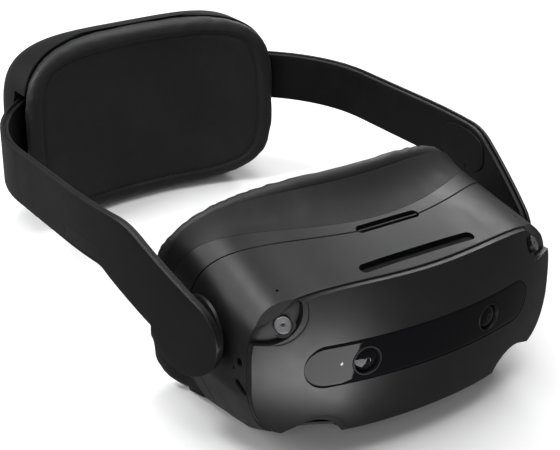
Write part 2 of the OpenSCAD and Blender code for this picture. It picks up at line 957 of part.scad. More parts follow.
placed() main_shell();
placed() rear_shell();
placed() front_plate();
placed() camera_window();
placed() vent_screens();
placed() colour_camera(1);  // colour_camera_left
placed() colour_camera(-1);  // colour_camera_right
placed() colour_lens(1);  // colour_lens_left
placed() colour_lens(-1);  // colour_lens_right
placed() tracking_camera(1, corners[0]);  // tracking_camera_top_left
placed() tracking_camera(-1, corners[0]);  // tracking_camera_top_right
placed() tracking_camera(1, corners[1]);  // tracking_camera_bottom_left
placed() tracking_camera(-1, corners[1]);  // tracking_camera_bottom_right
placed() tracking_lenses();
placed() chassis();
placed() mainboard();
placed() heat_sink();
placed() fan_housing();
placed() fan_rotor();
placed() lens_barrel(1);  // lens_barrel_left
placed() lens_barrel(-1);  // lens_barrel_right
placed() eye_lens(1);  // eye_lens_left
placed() eye_lens(-1);  // eye_lens_right
placed() display(1);  // display_left
placed() display(-1);  // display_right
placed() slide_rods();
placed() eye_gap_pinion();
placed() eyepiece_panel();
placed() proximity_window();
placed() usb_port();
placed() audio_jack();
placed() status_light();
placed() visor_screws();
placed() power_button();
placed() volume_button(27, -35);  // volume_up_button
placed() volume_button(39, -34.4);  // volume_down_button
placed() pivot_hub(1);  // pivot_hub_left
placed() pivot_hub(-1);  // pivot_hub_right
placed() face_frame();
placed() face_cushion();
placed() face_magnets();
placed() arm(1);  // arm_left
placed() arm(-1);  // arm_right
placed() arm_liner(1);  // arm_liner_left
placed() arm_liner(-1);  // arm_liner_right
placed() speaker(1);  // speaker_left
placed() speaker(-1);  // speaker_right
placed() arm_inlay();
placed() strap(1);  // strap_left
placed() strap(-1);  // strap_right
placed() pack_housing();
placed() pack_tray();
placed() rear_cushion();
placed() battery_cells();
placed() charge_board();
placed() fit_dial();
placed() fit_pinion();
placed() rack(1);  // rack_left
placed() rack(-1);  // rack_right
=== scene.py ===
"""Looks of the VR headset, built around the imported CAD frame.

Shapes are worked out in the band's own frame, in millimetres: X to the wearer's left, Y from the visor's
front to the back of the head, Z up, with the colour cameras' centre at the origin. BAND turns that frame
into the row frame, in metres.
"""
import json
import math

import bmesh
import bpy
import numpy as np
from mathutils import Matrix, Vector


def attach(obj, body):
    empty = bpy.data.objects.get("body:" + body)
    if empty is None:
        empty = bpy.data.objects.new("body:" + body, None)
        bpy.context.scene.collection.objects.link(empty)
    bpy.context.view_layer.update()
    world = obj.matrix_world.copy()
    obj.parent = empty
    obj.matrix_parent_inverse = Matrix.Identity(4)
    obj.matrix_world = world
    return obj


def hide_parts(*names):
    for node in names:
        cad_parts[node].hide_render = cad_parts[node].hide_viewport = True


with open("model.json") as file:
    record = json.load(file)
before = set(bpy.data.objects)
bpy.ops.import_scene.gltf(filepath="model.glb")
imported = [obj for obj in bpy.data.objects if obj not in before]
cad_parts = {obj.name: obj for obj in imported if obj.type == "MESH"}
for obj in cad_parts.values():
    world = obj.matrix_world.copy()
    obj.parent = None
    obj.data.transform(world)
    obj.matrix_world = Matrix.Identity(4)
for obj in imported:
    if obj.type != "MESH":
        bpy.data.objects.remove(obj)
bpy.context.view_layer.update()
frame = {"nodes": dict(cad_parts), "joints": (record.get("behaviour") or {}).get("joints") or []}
nodes = frame["nodes"]
joints = {j["name"]: j for j in frame["joints"]}

# ---------- driving dimensions, as in the CAD source ----------

PIVOT_Y, PIVOT_Z = 48.0, 7.0
BOSS_R = 13.8
VISOR_HALF_W, VISOR_MID_Z = 78.2, 1.0
FACE_R, PLATE_T, WALL, GAP = 195.0, 2.4, 2.2, 0.15
FACE_CENTRE_Y = FACE_R - 2.6
WINDOW_HALF_W, WINDOW_R, WINDOW_Z = 58.5, 9.5, 0.8
CAMERA_HALF_GAP = 32.0
FLANK_Z, FLANK_SLANT = -12.0, 0.36
SEAM_Y, SEAM_R = 29.0, 115.0
CREASE_Y, CREASE_R = 35.0, 98.0
RIM_Y, RIM_R = 54.0, 129.0
EYE_Z = 3.0
HOOD_UP, HOOD_SCOOP = 52.6, 0.13
LIP_UP, LIP_SQUARENESS = 57.6, 2.7
BAND_HALF_W, BAND_TOP, BAND_BOTTOM = 100.0, 46.0, 19.5
ARM_T, TONGUE_ROOM, LINER_T = 1.5, 1.1, 1.4
ARM_ALL_T = ARM_T + TONGUE_ROOM + LINER_T
FRONT_ARC_R, FRONT_ARC_Y, BEND_R, SPLIT_Y = 306.0, 128.0, 80.0, 178.0
STRAP_TIP = 62.0
PADDLE_R, NECK_SLOPE = 18.0, 29.0
PACK_HALF_W, PACK_HALF_H, PACK_MID_Z, PACK_BACK_Y = 72.8, 48.0, 23.7, 268.0
PACK_CENTRE_Y, PACK_HOLLOW_R = 112.0, 138.0
CUSHION_FACE_R, CUSHION_MID_Y = 155.0, 240.0
DIAL_R = 17.0
CORNERS = {
    "top": ((66.0, 10.0, 22.0), (0.52, -0.70, 0.49)),
    "bottom": ((53.5, 11.8, -27.7), (0.25, -0.60, -0.76)),
}
SCALLOPS = ((71.3, 27.6, 13.6), (53.6, -38.0, 14.3))
SEAM_ROOM, SEAM_EDGE, FRONT_EDGE, FINE_EDGE = 0.05, 0.3, 0.25, 0.08
WINDOW_LEDGE = 2.5
NOSE_Y, NOSE_Z, NOSE_R = 26, -34, 20
FRONT_VENT = {"half_len": 29.2, "width": 5.0, "y": 10.3}
REAR_VENT = {"half_len": 16, "width": 4.6, "y": 30.6}
CAMERA_BORE_R, BOWL_R = 3.7, 15
AROUND = 288
SUNK = 0.4

# ---------- the band's frame ----------

pivot_row = Vector(joints["band_tilt"]["pos_m"])
back_way = Vector(joints["pack_slide"]["axis"])
LEAN = math.atan2(back_way.z, back_way.y)
BAND = (
    Matrix.Translation(pivot_row)
    @ Matrix.Rotation(LEAN, 4, "X")
    @ Matrix.Scale(0.001, 4)
    @ Matrix.Translation((0, -PIVOT_Y, -PIVOT_Z))
)


def spot(x, y, z):
    """A point of the band's frame, in the row frame."""
    return BAND @ Vector((x, y, z))


# ---------- shapes: (points, faces) in the band's frame ----------


def full_turn(count):
    """Angles once round."""
    return np.linspace(0, 2 * math.pi, count, endpoint=False)


def grid_shape(rows, wrap_rows=False, cap=False):
    """Quads over a list of equal closed rings of points."""
    rows = np.array(rows, float)
    count, cols = rows.shape[:2]
    last_row = count if wrap_rows else count - 1
    faces = [
        (
            r * cols + c,
            r * cols + (c + 1) % cols,
            ((r + 1) % count) * cols + (c + 1) % cols,
            ((r + 1) % count) * cols + c,
        )
        for r in range(last_row)
        for c in range(cols)
    ]
    if cap:
        faces.append(tuple(reversed(range(cols))))
        faces.append(tuple((count - 1) * cols + c for c in range(cols)))
    return rows.reshape(-1, 3), faces


def joined(*shapes):
    """Several shapes as one."""
    points, faces, start = [], [], 0
    for p, f in shapes:
        points.append(np.array(p, float))
        faces += [tuple(i + start for i in face) for face in f]
        start += len(p)
    return np.concatenate(points), faces


def mirrored(shape):
    """The shape on the headset's other side."""
    points, faces = shape
    return np.array(points) * (-1, 1, 1), [tuple(reversed(f)) for f in faces]


def on_side(shape, side):
    """The shape for the wearer's left (1) or right (-1)."""
    return shape if side > 0 else mirrored(shape)


def both_sides(shape):
    return [shape, mirrored(shape)]


def moved(shape, matrix):
    points, faces = shape
    m = np.array(matrix)
    return np.array(points) @ m[:3, :3].T + m[:3, 3], faces


def towards(position, way):
    """Matrix that puts local +Z along way, at a position."""
    return Matrix.Translation(position) @ Vector(way).to_track_quat("Z", "Y").to_matrix().to_4x4()


def turned(profile, position, way, steps=64):
    """Solid of revolution about way. The profile's points are (height, radius), from the bottom up."""
    angles = full_turn(steps)
    rows = [[(r * math.cos(a), r * math.sin(a), h) for a in angles] for h, r in profile]
    return moved(grid_shape(rows, cap=True), towards(position, way))


def rod(start, way, length, r, steps=32):
    """Round bar from a point along way."""
    return turned([(0, 0), (0, r), (length, r), (length, 0)], start, way, steps)


def box_shape(low, high):
    (x0, y0, z0), (x1, y1, z1) = low, high
    rows = [[(x0, y0, z), (x1, y0, z), (x1, y1, z), (x0, y1, z)] for z in (z0, z1)]
    return grid_shape(rows, cap=True)


def clean(obj):
    """Joins points that coincide and turns all faces outwards."""
    merge = 0.00002
    bm = bmesh.new()
    bm.from_mesh(obj.data)
    bmesh.ops.remove_doubles(bm, verts=bm.verts, dist=merge)
    bmesh.ops.dissolve_degenerate(bm, edges=bm.edges, dist=merge / 4)
    bmesh.ops.recalc_face_normals(bm, faces=bm.faces)
    bm.to_mesh(obj.data)
    bm.free()


def shade(obj, angle):
    """Smooth shading, with sharp edges where the faces turn by more than angle degrees."""
    obj.data.polygons.foreach_set("use_smooth", [True] * len(obj.data.polygons))
    obj.data.set_sharp_from_angle(angle=math.radians(angle))


def placed(name, data):
    """A new object in the scene."""
    obj = bpy.data.objects.new(name, data)
    bpy.context.scene.collection.objects.link(obj)
    return obj


def raw(name, shape):
    """A mesh object made of a shape of the band's frame."""
    points, faces = shape
    mesh = bpy.data.meshes.new(name)
    mesh.from_pydata([tuple(p) for p in points], [], faces)
    mesh.transform(BAND)
    obj = placed(name, mesh)
    clean(obj)
    return obj


def applied(obj):
    """Puts the result of the modifiers into the mesh."""
    depsgraph = bpy.context.evaluated_depsgraph_get()
    mesh = bpy.data.meshes.new_from_object(obj.evaluated_get(depsgraph))
    obj.modifiers.clear()
    old = obj.data
    obj.data = mesh
    bpy.data.meshes.remove(old)


def cut(obj, *shapes):
    """Takes each shape away from the object."""
    tools = [raw(f"cutter_{i}", shape) for i, shape in enumerate(shapes)]
    for tool in tools:
        boolean = obj.modifiers.new("cut", "BOOLEAN")
        boolean.operation = "DIFFERENCE"
        boolean.object = tool
        boolean.solver = "EXACT"
        applied(obj)
    for tool in tools:
        bpy.data.objects.remove(tool)


def piece(name, shape, body, look, replaces=(), cuts=(), angle=32):
    """A finished piece: its shape, what is cut from it, its material, its body and what it stands for."""
    obj = raw(name, shape)
    cut(obj, *cuts)
    return dress(obj, body, look, replaces, angle)


def dress(obj, body, look, replaces, angle):
    """Gives an object its shading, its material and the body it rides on."""
    shade(obj, angle)
    obj.data.materials.clear()
    obj.data.materials.append(look)
    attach(obj, body)
    if replaces:
        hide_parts(*replaces)
    return obj


# ---------- materials ----------

NOISE_LOW, NOISE_HIGH = 0.3, 0.7


def material(name, color, roughness, metallic=0.0, **sockets):
    """A material with its plain values on the shader's own sockets."""
    mat = bpy.data.materials.new(name)
    mat.use_nodes = True
    shader = mat.node_tree.nodes["Principled BSDF"]
    shader.inputs["Base Color"].default_value = (*color, 1)
    shader.inputs["Roughness"].default_value = roughness
    shader.inputs["Metallic"].default_value = metallic
    for key, value in sockets.items():
        shader.inputs[key.replace("_", " ")].default_value = value
    return mat


def link(mat, output, target):
    mat.node_tree.links.new(output, target)


def feed(mat, output, socket):
    """Links a node's output to a socket of the shader."""
    link(mat, output, mat.node_tree.nodes["Principled BSDF"].inputs[socket])


def node(mat, kind, **values):
    made = mat.node_tree.nodes.new(kind)
    for key, value in values.items():
        if hasattr(made, key):
            setattr(made, key, value)
        else:
            made.inputs[key.replace("_", " ")].default_value = value
    return made


def noise(mat, scale, detail=3.0, roughness=0.55):
    """Noise over the object's own place, in metres."""
    place = node(mat, "ShaderNodeTexCoord")
    texture = node(mat, "ShaderNodeTexNoise", Scale=scale, Detail=detail, Roughness=roughness)
    link(mat, place.outputs["Object"], texture.inputs["Vector"])
    return texture.outputs["Fac"]


def gloss(mat, source, low, high):
    """Uneven roughness: the noise's usual range, stretched over low to high."""
    stretch = node(mat, "ShaderNodeMapRange")
    stretch.inputs["From Min"].default_value = NOISE_LOW
    stretch.inputs["From Max"].default_value = NOISE_HIGH
    stretch.inputs["To Min"].default_value = low
    stretch.inputs["To Max"].default_value = high
    link(mat, source, stretch.inputs["Value"])
    feed(mat, stretch.outputs["Result"], "Roughness")


def tint(mat, source, dark, light):
    """Drifts the base colour between two shades."""
    ramp = node(mat, "ShaderNodeValToRGB")
    ends = ramp.color_ramp.elements
    ends[0].position, ends[1].position = NOISE_LOW, NOISE_HIGH
    ends[0].color, ends[1].color = (*dark, 1), (*light, 1)
    link(mat, source, ramp.inputs["Fac"])
    feed(mat, ramp.outputs["Color"], "Base Color")


def bump(mat, sources, strengths, distance):
    """Bumps from one or more heights, one after the other."""
    last = None
    for source, strength in zip(sources, strengths):
        relief = node(mat, "ShaderNodeBump", Strength=strength, Distance=distance)
        link(mat, source, relief.inputs["Height"])
        if last is not None:
            link(mat, last, relief.inputs["Normal"])
        last = relief.outputs["Normal"]
    feed(mat, last, "Normal")


def moulded(name, dark, light, rough_low, rough_high, grain=0.22, shine=0.36):
    """Moulded plastic: fine spark-eroded grain, soft colour drift and uneven gloss."""
    mat = material(name, light, rough_high, Specular_IOR_Level=shine)
    tint(mat, noise(mat, 38, 4), dark, light)
    gloss(mat, noise(mat, 90, 5), rough_low, rough_high)
    bump(mat, [noise(mat, 4200, 2), noise(mat, 1300, 2)], [grain, grain * 0.5], 0.00004)
    return mat


def leatherette(name, dark, light):
    """Soft coated fabric: small pebbles with fine creases between them, and a little sheen."""
    mat = material(name, light, 0.62, Sheen_Weight=0.03, Sheen_Roughness=0.4, Specular_IOR_Level=0.26)
    place = node(mat, "ShaderNodeTexCoord")
    cells = node(mat, "ShaderNodeTexVoronoi", Scale=900.0)
    cells.feature = "DISTANCE_TO_EDGE"
    link(mat, place.outputs["Object"], cells.inputs["Vector"])
    crease = node(mat, "ShaderNodeMapRange")
    crease.inputs["From Max"].default_value = 0.25
    link(mat, cells.outputs["Distance"], crease.inputs["Value"])
    tint(mat, noise(mat, 30, 4), dark, light)
    gloss(mat, noise(mat, 160, 4), 0.42, 0.56)
    bump(mat, [crease.outputs["Result"], noise(mat, 2600, 2)], [0.35, 0.15], 0.00008)
    return mat


def metal(name, color, roughness, grain_scale=2500):
    """Satin metal with uneven gloss and a fine grain."""
    mat = material(name, color, roughness, 1.0)
    gloss(mat, noise(mat, 300, 4), roughness * 0.8, roughness * 1.25)
    bump(mat, [noise(mat, grain_scale, 2)], [0.15], 0.00003)
    return mat


def polished(name, color, roughness, **sockets):
    """Hard gloss with a trace of dust and haze."""
    mat = material(name, color, roughness, **sockets)
    gloss(mat, noise(mat, 220, 6), roughness, roughness * 2.2)
    bump(mat, [noise(mat, 60, 1)], [0.02], 0.00002)
    return mat


SHELL = moulded("shell_plastic", (0.004, 0.004, 0.0045), (0.006, 0.006, 0.0065), 0.34, 0.43, shine=0.25)
TRIM = moulded("trim_plastic", (0.0028, 0.0028, 0.003), (0.0042, 0.0042, 0.0045), 0.46, 0.58, shine=0.2)
DEEP = moulded("inner_plastic", (0.004, 0.004, 0.0045), (0.007, 0.007, 0.0075), 0.5, 0.65)
PAD = leatherette("pad_leatherette", (0.011, 0.011, 0.0114), (0.015, 0.015, 0.0155))
SILICONE = moulded("face_pad_silicone", (0.008, 0.008, 0.0084), (0.011, 0.011, 0.0114), 0.44, 0.54, 0.12, 0.3)
WINDOW = polished("window_gloss", (0.002, 0.002, 0.0025), 0.03, Specular_IOR_Level=0.1)
LENS = polished("camera_lens", (0.0015, 0.0015, 0.002), 0.02, Specular_IOR_Level=0.16)
LENS_RING = metal("lens_ring", (0.05, 0.05, 0.053), 0.35)
# Metal for the fine raised rings on the corner cameras' covers, lighter than the covers; the lighter tone is
# painted highlight.
RING_METAL_PAINTED_HIGHLIGHT = metal("lens_rim_painted_highlight", (0.2, 0.2, 0.205), 0.4)
# Corner cameras' covers: a dark cover whose grey is lifted well above the other lenses' black; the lighter
# grey is painted reflection of the lights.
COVER_GREY_PAINTED_REFLECTION = polished("sensor_cover_painted_reflection", (0.05, 0.05, 0.053), 0.18)
EYE_GLASS = material("eye_lens_glass", (0.9, 0.93, 0.95), 0.03, Transmission_Weight=0.85, IOR=1.5)
STEEL = metal("steel", (0.55, 0.55, 0.57), 0.28)
CAST = metal("cast_alloy", (0.42, 0.43, 0.45), 0.42, 1500)
BOARD = moulded("circuit_board", (0.012, 0.06, 0.03), (0.02, 0.085, 0.04), 0.3, 0.45)
WRAP = polished("battery_wrap", (0.03, 0.06, 0.12), 0.22)
LIGHT = polished("status_light", (0.34, 0.35, 0.37), 0.15)
INLAY = metal("inlay_plate", (0.05, 0.05, 0.052), 0.34)
PORT = metal("port_sleeve", (0.05, 0.05, 0.055), 0.4)

# ---------- visor ----------


def root(v, n):
    """A cosine or sine, swollen to square off an oval."""
    return np.sign(v) * np.abs(v) ** (2 / n)


def oval(half_w, up, down, n_up, n_down, t):
    """Squared-off oval at the angles t, in radians."""
    s = np.sin(t)
    n = np.where(s >= 0, n_up, n_down)
    height = np.where(s >= 0, up, down)
    return half_w * root(np.cos(t), n), height * root(s, n)


def run_of(x, z):
    """Lengths along a closed curve, from its first point back to it."""
    return np.append(0, np.cumsum(np.hypot(np.diff(x, append=x[0]), np.diff(z, append=z[0]))))


def evenly(curve, count):
    """Resamples a closed curve (x, z) to evenly spaced points from its first one."""
    x, z = curve
    run = run_of(x, z)
    at = np.linspace(0, run[-1], count, endpoint=False)
    return np.interp(at, run, np.append(x, x[0])), np.interp(at, run, np.append(z, z[0]))


def even_angles(count):
    """Angles at which the visor's section has evenly spaced points."""
    fine = full_turn(20000)
    run = run_of(*oval(VISOR_HALF_W, 38, 36, 3.2, 3.6, fine))
    at = np.linspace(0, run[-1], count, endpoint=False)
    return np.interp(at, run, np.append(fine, 2 * math.pi))


T = even_angles(AROUND)


def visor_up(y):
    """Reach above the visor's middle at a distance y."""
    return 32 + 0.265 * y


def visor_down(y):
    """Reach below the visor's middle at a distance y."""
    return 33.2 + 0.145 * y


def flank(half_w, up, down, y, t):
    """Section that turns from a plain oval at the front into one with a creased lower flank."""
    x, z = oval(half_w, up, down, 3.2, 3.6, t)
    wide_x, wide_z = oval(half_w, up, down, 3.2, 6.0, t)
    limit = half_w - FLANK_SLANT * np.maximum(FLANK_Z - VISOR_MID_Z - wide_z, 0)
    wide_x = np.clip(wide_x, -limit, limit)
    mix = np.clip((np.asarray(y) - 5.0) / 24.0, 0, 1)
    mix = mix * mix * (3 - 2 * mix)
    return x + (wide_x - x) * mix, z + (wide_z - z) * mix


def visor_section(y, inset, t=T):
    """Points of the visor's outer form at the distances y, moved in by inset."""
    x, z = flank(VISOR_HALF_W + 0.01 * y - inset, visor_up(y) - inset, visor_down(y) - inset, y, t)
    return x, z + VISOR_MID_Z


def ball_y(x, z, inset):
    """Distance of the curved face, moved in by inset."""
    return FACE_CENTRE_Y - np.sqrt(np.maximum((FACE_R - inset) ** 2 - x**2 - (z - VISOR_MID_Z) ** 2, 1))


def drum_y(x, front_y, r):
    """Distance of an upright drum's front at x."""
    return front_y + r - np.sqrt(np.maximum(r * r - x * x, 1))


def face_at(inset):
    """Cut along the curved face, moved in by inset."""
    return lambda x, z: ball_y(x, z, inset)


def drum_at(front_y, r, shift=0.0):
    """Cut along an upright drum, moved back by shift."""
    return lambda x, z: drum_y(x, front_y, r) + shift


def settled(inset, place, section=visor_section, t=T):
    """Ring of points of the section that lies on a curved cut: place(x, z) gives its distance."""
    y = np.full(len(t), 10.0)
    for _ in range(8):
        x, z = section(y, inset, t)
        y = place(x, z)
    return x, y, z


def ring(x, y, z):
    return np.stack([x, y, z], axis=1)


def section_ring(y, inset, section=visor_section):
    """Ring on the section's surface at the distances y."""
    x, z = section(y, inset)
    return ring(x, y, z)


def along(first, last, inset, steps, section=visor_section):
    """Rings on the section's surface, from the distances first to the distances last."""
    return [section_ring(first + (last - first) * s, inset, section) for s in steps]


def pill_outline(half_len, r, count):
    """Outline (x, z) of the camera window's form, evenly spaced from its right end."""
    straight = half_len - r
    a = np.linspace(-math.pi / 2, math.pi / 2, 200)
    right = (straight + r * np.cos(a), r * np.sin(a))
    left = (-straight - r * np.cos(a), -r * np.sin(a))
    x = np.concatenate([right[0][100:], left[0], right[0][:100]])
    z = np.concatenate([right[1][100:], left[1], right[1][:100]])
    x, z = evenly((x, z), count)
    return x, z + WINDOW_Z


def wall_rings(outer, inner, place, steps):
    """Rings on a curved cut, between two outlines (x, z)."""
    rings = []
    for s in steps:
        x = outer[0] + (inner[0] - outer[0]) * s
        z = outer[1] + (inner[1] - outer[1]) * s
        rings.append(ring(x, place(x, z), z))
    return rings


def main_shell():
    """Front half of the casing: its sides and the wall behind the front plate, as one thick skin."""
    back = PLATE_T + GAP
    seam = drum_at(SEAM_Y, SEAM_R, -SEAM_ROOM)
    front, front_in = settled(0, face_at(back)), settled(WALL, face_at(back + WALL))
    rear, rear_in = settled(0, seam), settled(WALL, seam)
    front_y, rear_y = front[1], rear[1]
    hole = pill_outline(WINDOW_HALF_W - WINDOW_LEDGE, WINDOW_R - WINDOW_LEDGE, AROUND)
    steps = [0, 0.01, *np.linspace(0.04, 1, 16)]
    rows = wall_rings(hole, visor_section(front_y, FRONT_EDGE), face_at(back), np.linspace(0, 1, 12))
    rows.append(section_ring(front_y + FINE_EDGE, FINE_EDGE))
    rows += along(front_y + FRONT_EDGE, rear_y - SEAM_EDGE, 0, steps)
    rows.append(section_ring(rear_y, SEAM_EDGE))
    rows += along(rear_in[1], front_in[1], WALL, np.linspace(0, 1, 6))
    rows += wall_rings(front_in[::2], hole, face_at(back + WALL), np.linspace(0.1, 1, 5))
    return grid_shape(rows, wrap_rows=True)


def pill(straight, r, count):
    """Loop (u, v) of a pill whose round ends' centres lie at u = -straight and straight."""
    angles = np.linspace(-math.pi / 2, math.pi / 2, count)
    right = [(straight + r * math.cos(a), r * math.sin(a)) for a in angles]
    return right + [(-u, -v) for u, v in right]


def slot_tool(low, high, half_len, width, y):
    """Upright pill-shaped cutter."""
    r = width / 2
    rows = [[(u, y + v, z) for u, v in pill(half_len - r, r, 14)] for z in (low, high)]
    return grid_shape(rows, cap=True)


def bowl_height(r):
    """Height of a corner camera's shallow bowl over its facet."""
    return -0.5 - SUNK + max(r - CAMERA_BORE_R, 0) ** 2 / 90


def corner_tools():
    """Shallow bowls and bores for the four corner cameras."""
    slope = [(bowl_height(r), float(r)) for r in np.linspace(CAMERA_BORE_R, BOWL_R, 16)]
    bowl = [(bowl_height(0), 0), *slope, (14, BOWL_R), (14, 0)]
    bore = [(-20, 0), (-20, CAMERA_BORE_R), (1, CAMERA_BORE_R), (1, 0)]
    tools = []
    for position, way in CORNERS.values():
        tools += both_sides(turned(bowl, position, way, 96))
        tools += both_sides(turned(bore, position, way))
    return tools


def usb_tool():
    """Slanted pill-shaped cutter for the USB socket."""
    middle_y, middle_z = 21, -7.2
    c, s = math.cos(math.radians(25)), math.sin(math.radians(25))
    loop = [(middle_y + u * c - v * s, middle_z + u * s + v * c) for u, v in pill(2.84, 1.73, 12)]
    rows = [[(x, y, z) for y, z in loop] for x in (-90.0, -70.0)]
    return grid_shape(rows, cap=True)


def side_hole(x, y, z, r, steps=32):
    """Bore along X through one of the visor's sides."""
    return rod((x, y, z), (1, 0, 0), 20, r, steps)


vent_tools = [slot_tool(24, 48, **FRONT_VENT), slot_tool(28, 52, **REAR_VENT)]
socket_tools = [
    side_hole(-90, 22, 3.8, 2.1),
    side_hole(70, 22, 3.8, 3.3),
    side_hole(-90, 26.2, -0.6, 0.7, 16),
    usb_tool(),
]
microphones = [rod((side * 62, 20, 20), (0, 0, 1), 30, 0.55, 16) for side in (1, -1)]
button_holes = [rod((x, 22, -44), (0, 0, 1), 16, 2.8) for x in (27, 39)]
hub_tools = both_sides(side_hole(70, PIVOT_Y, PIVOT_Z, 12.05, 64))
piece(
    "visor_main_shell", main_shell(), "visor", SHELL, ["main_shell"],
    vent_tools + corner_tools() + socket_tools + microphones + button_holes + hub_tools,
)


def rear_shell():
    """Band of the casing between the curved seam and the hood."""
    front_y = settled(0, drum_at(SEAM_Y, SEAM_R, GAP))[1]
    rear_y = settled(0, drum_at(CREASE_Y, CREASE_R))[1]
    rows = [section_ring(front_y, FRONT_EDGE)]
    rows += along(front_y + FRONT_EDGE, rear_y - 0.06, 0, np.linspace(0, 1, 8))
    rows.append(section_ring(rear_y, FINE_EDGE))
    rows += along(rear_y, front_y, WALL, np.linspace(0, 1, 4))
    return grid_shape(rows, wrap_rows=True)


nose_tools = [
    rod((0, NOSE_Y, NOSE_Z), (0, 1, 0), 120 - NOSE_Y, NOSE_R, 64),
    box_shape((-NOSE_R, NOSE_Y, -70), (NOSE_R, 120, NOSE_Z)),
]
piece(
    "visor_rear_shell", rear_shell(), "visor", SHELL, ["rear_shell"],
    [vent_tools[1]] + nose_tools + hub_tools,
)


def scalloped(x, z):
    """Moves outline points that lie inside a corner scallop to its inner edge."""
    x, z = x.copy(), z.copy()
    for side in (1, -1):
        for cx, cz, r in SCALLOPS:
            length = np.hypot(x, z - VISOR_MID_Z)
            ux, uz = x / length, (z - VISOR_MID_Z) / length
            b = ux * side * cx + uz * (cz - VISOR_MID_Z)
            c = cx**2 + (cz - VISOR_MID_Z) ** 2 - r * r
            disc = b * b - c
            near = b - np.sqrt(np.maximum(disc, 0))
            hit = (disc > 0) & (b > 0) & (near < length)
            x = np.where(hit, ux * near, x)
            z = np.where(hit, uz * near + VISOR_MID_Z, z)
    return x, z


def front_plate():
    """Curved cover with a soft outer edge, a sharp window opening and a low step round the scallops."""
    count = 720
    t = even_angles(count)
    front = settled(0, face_at(0), t=t)
    plain = visor_section(front[1], 0, t)
    outline = scalloped(*plain)
    bitten = (np.hypot(plain[0] - outline[0], plain[1] - outline[1]) > 0.01).astype(float)
    hole = pill_outline(WINDOW_HALF_W, WINDOW_R, count)
    length = np.hypot(outline[0], outline[1] - VISOR_MID_Z)
    edge, flange, step = 0.3, 2.4, 0.3

    def shrunk(distance):
        """The outline, moved in by a distance."""
        k = 1 - distance / length
        return outline[0] * k, (outline[1] - VISOR_MID_Z) * k + VISOR_MID_Z

    rows = wall_rings(hole, shrunk(flange + 0.3), face_at(0), np.linspace(0, 1, 14))
    for distance in (flange, flange - 0.25, edge + 0.05, edge):
        x, z = shrunk(distance)
        drop = step * (0.1 if distance == flange else 1.0)
        rows.append(ring(x, ball_y(x, z, 0) + drop * bitten, z))
    for a in np.linspace(0, math.pi / 2, 6)[1:]:
        x, z = shrunk(edge * (1 - math.sin(a)))
        y = ball_y(x, z, 0) + np.maximum(step * bitten, edge * (1 - math.cos(a)))
        rows.append(ring(x, y, z))
    x, z = outline
    rows.append(ring(x, ball_y(x, z, PLATE_T), z))
    rows += wall_rings(outline, hole, face_at(PLATE_T), np.linspace(0.05, 1, 4))
    rows.append(rows[0] + (0, 0.3, 0))
    return grid_shape(rows, wrap_rows=True)


camera_notches = []
notch_r = CAMERA_BORE_R + 0.25
for place, direction in CORNERS.values():
    notch = turned([(-20, 0), (-20, notch_r), (4, notch_r), (4, 0)], place, direction)
    camera_notches += both_sides(notch)
piece("visor_front_plate", front_plate(), "visor", SHELL, ["front_plate"], camera_notches, 28)


def camera_window():
    """Glossy pill, built from upright cross-sections along X."""
    half, r, depth = WINDOW_HALF_W - GAP, WINDOW_R - GAP, 2.2
    straight = half - r
    ends = straight + r * np.sin(np.linspace(0, math.pi / 2, 18) * 0.995)
    middle = np.linspace(-straight, straight, 40)
    rows = []
    for x in [*(-ends[:0:-1]), *middle, *ends[1:]]:
        tall = math.sqrt(max(r * r - max(abs(x) - straight, 0) ** 2, 0.02))
        soft = min(0.4, tall * 0.5)
        face = [(z, 0) for z in np.linspace(-tall + soft, tall - soft, 15)]
        upper = [(tall - soft * 0.3, soft * 0.3), (tall, soft), (tall, depth)]
        lower = [(-z, drop) for z, drop in reversed(upper)]
        loop = [(z + WINDOW_Z, drop) for z, drop in face + upper + lower]
        rows.append([(x, float(ball_y(x, z, 0.1)) + drop, z) for z, drop in loop])
    return grid_shape(rows, cap=True)


def camera_way(side):
    """Way that a colour camera looks."""
    return Vector((side * CAMERA_HALF_GAP, -FACE_CENTRE_Y, 0)).normalized()


camera_bores = [
    rod(Vector((side * CAMERA_HALF_GAP, 0, 0)) - 10 * camera_way(side), camera_way(side), 20, 6.75, 72)
    for side in (1, -1)
]
piece(
    "camera_window_gloss", camera_window(), "visor", WINDOW, ["camera_window"],
    camera_bores + [rod((-43, -6, 1), (0, 1, 0), 12, 0.72, 24)], 40,
)

# ---------- vents ----------


def vent_mesh():
    """Woven screen under the front vent: two layers of slanted wires on a tray."""
    pitch, width, wire_r = 1.5, 6.4, 0.28
    shapes = []
    for slant, z in ((1, 32.9), (-1, 33.3)):
        for x in np.arange(-30, 30.1, pitch):
            start = Vector((x - slant * width / 2, 7.2, z))
            way = Vector((slant * width, width, 0))
            shapes.append(rod(start, way.normalized(), way.length, wire_r, 8))
    return joined(*shapes, box_shape((-30.6, 7.0, 31.5), (30.6, 13.8, 32.0)))


def vent_rib():
    """Rib along the middle of the rear vent, on its own tray."""
    rows = []
    for x in (-15.4, -15.0, *np.linspace(-14, 14, 12), 15.0, 15.4):
        top = 40.7 - (0.5 if abs(x) > 15.2 else 0.0)
        half = [(0.6, 36.6), (0.6, top - 0.25), (0.35, top)]
        loop = [(-v, z) for v, z in half] + half[::-1]
        rows.append([(x, REAR_VENT["y"] + v, z) for v, z in loop])
    return joined(grid_shape(rows, cap=True), box_shape((-17.2, 28, 36.4), (17.2, 33.2, 37.2)))


piece("vent_mesh_front", vent_mesh(), "visor", TRIM, ["vent_screens"])
piece("vent_rib_rear", vent_rib(), "visor", TRIM)

# ---------- cameras ----------


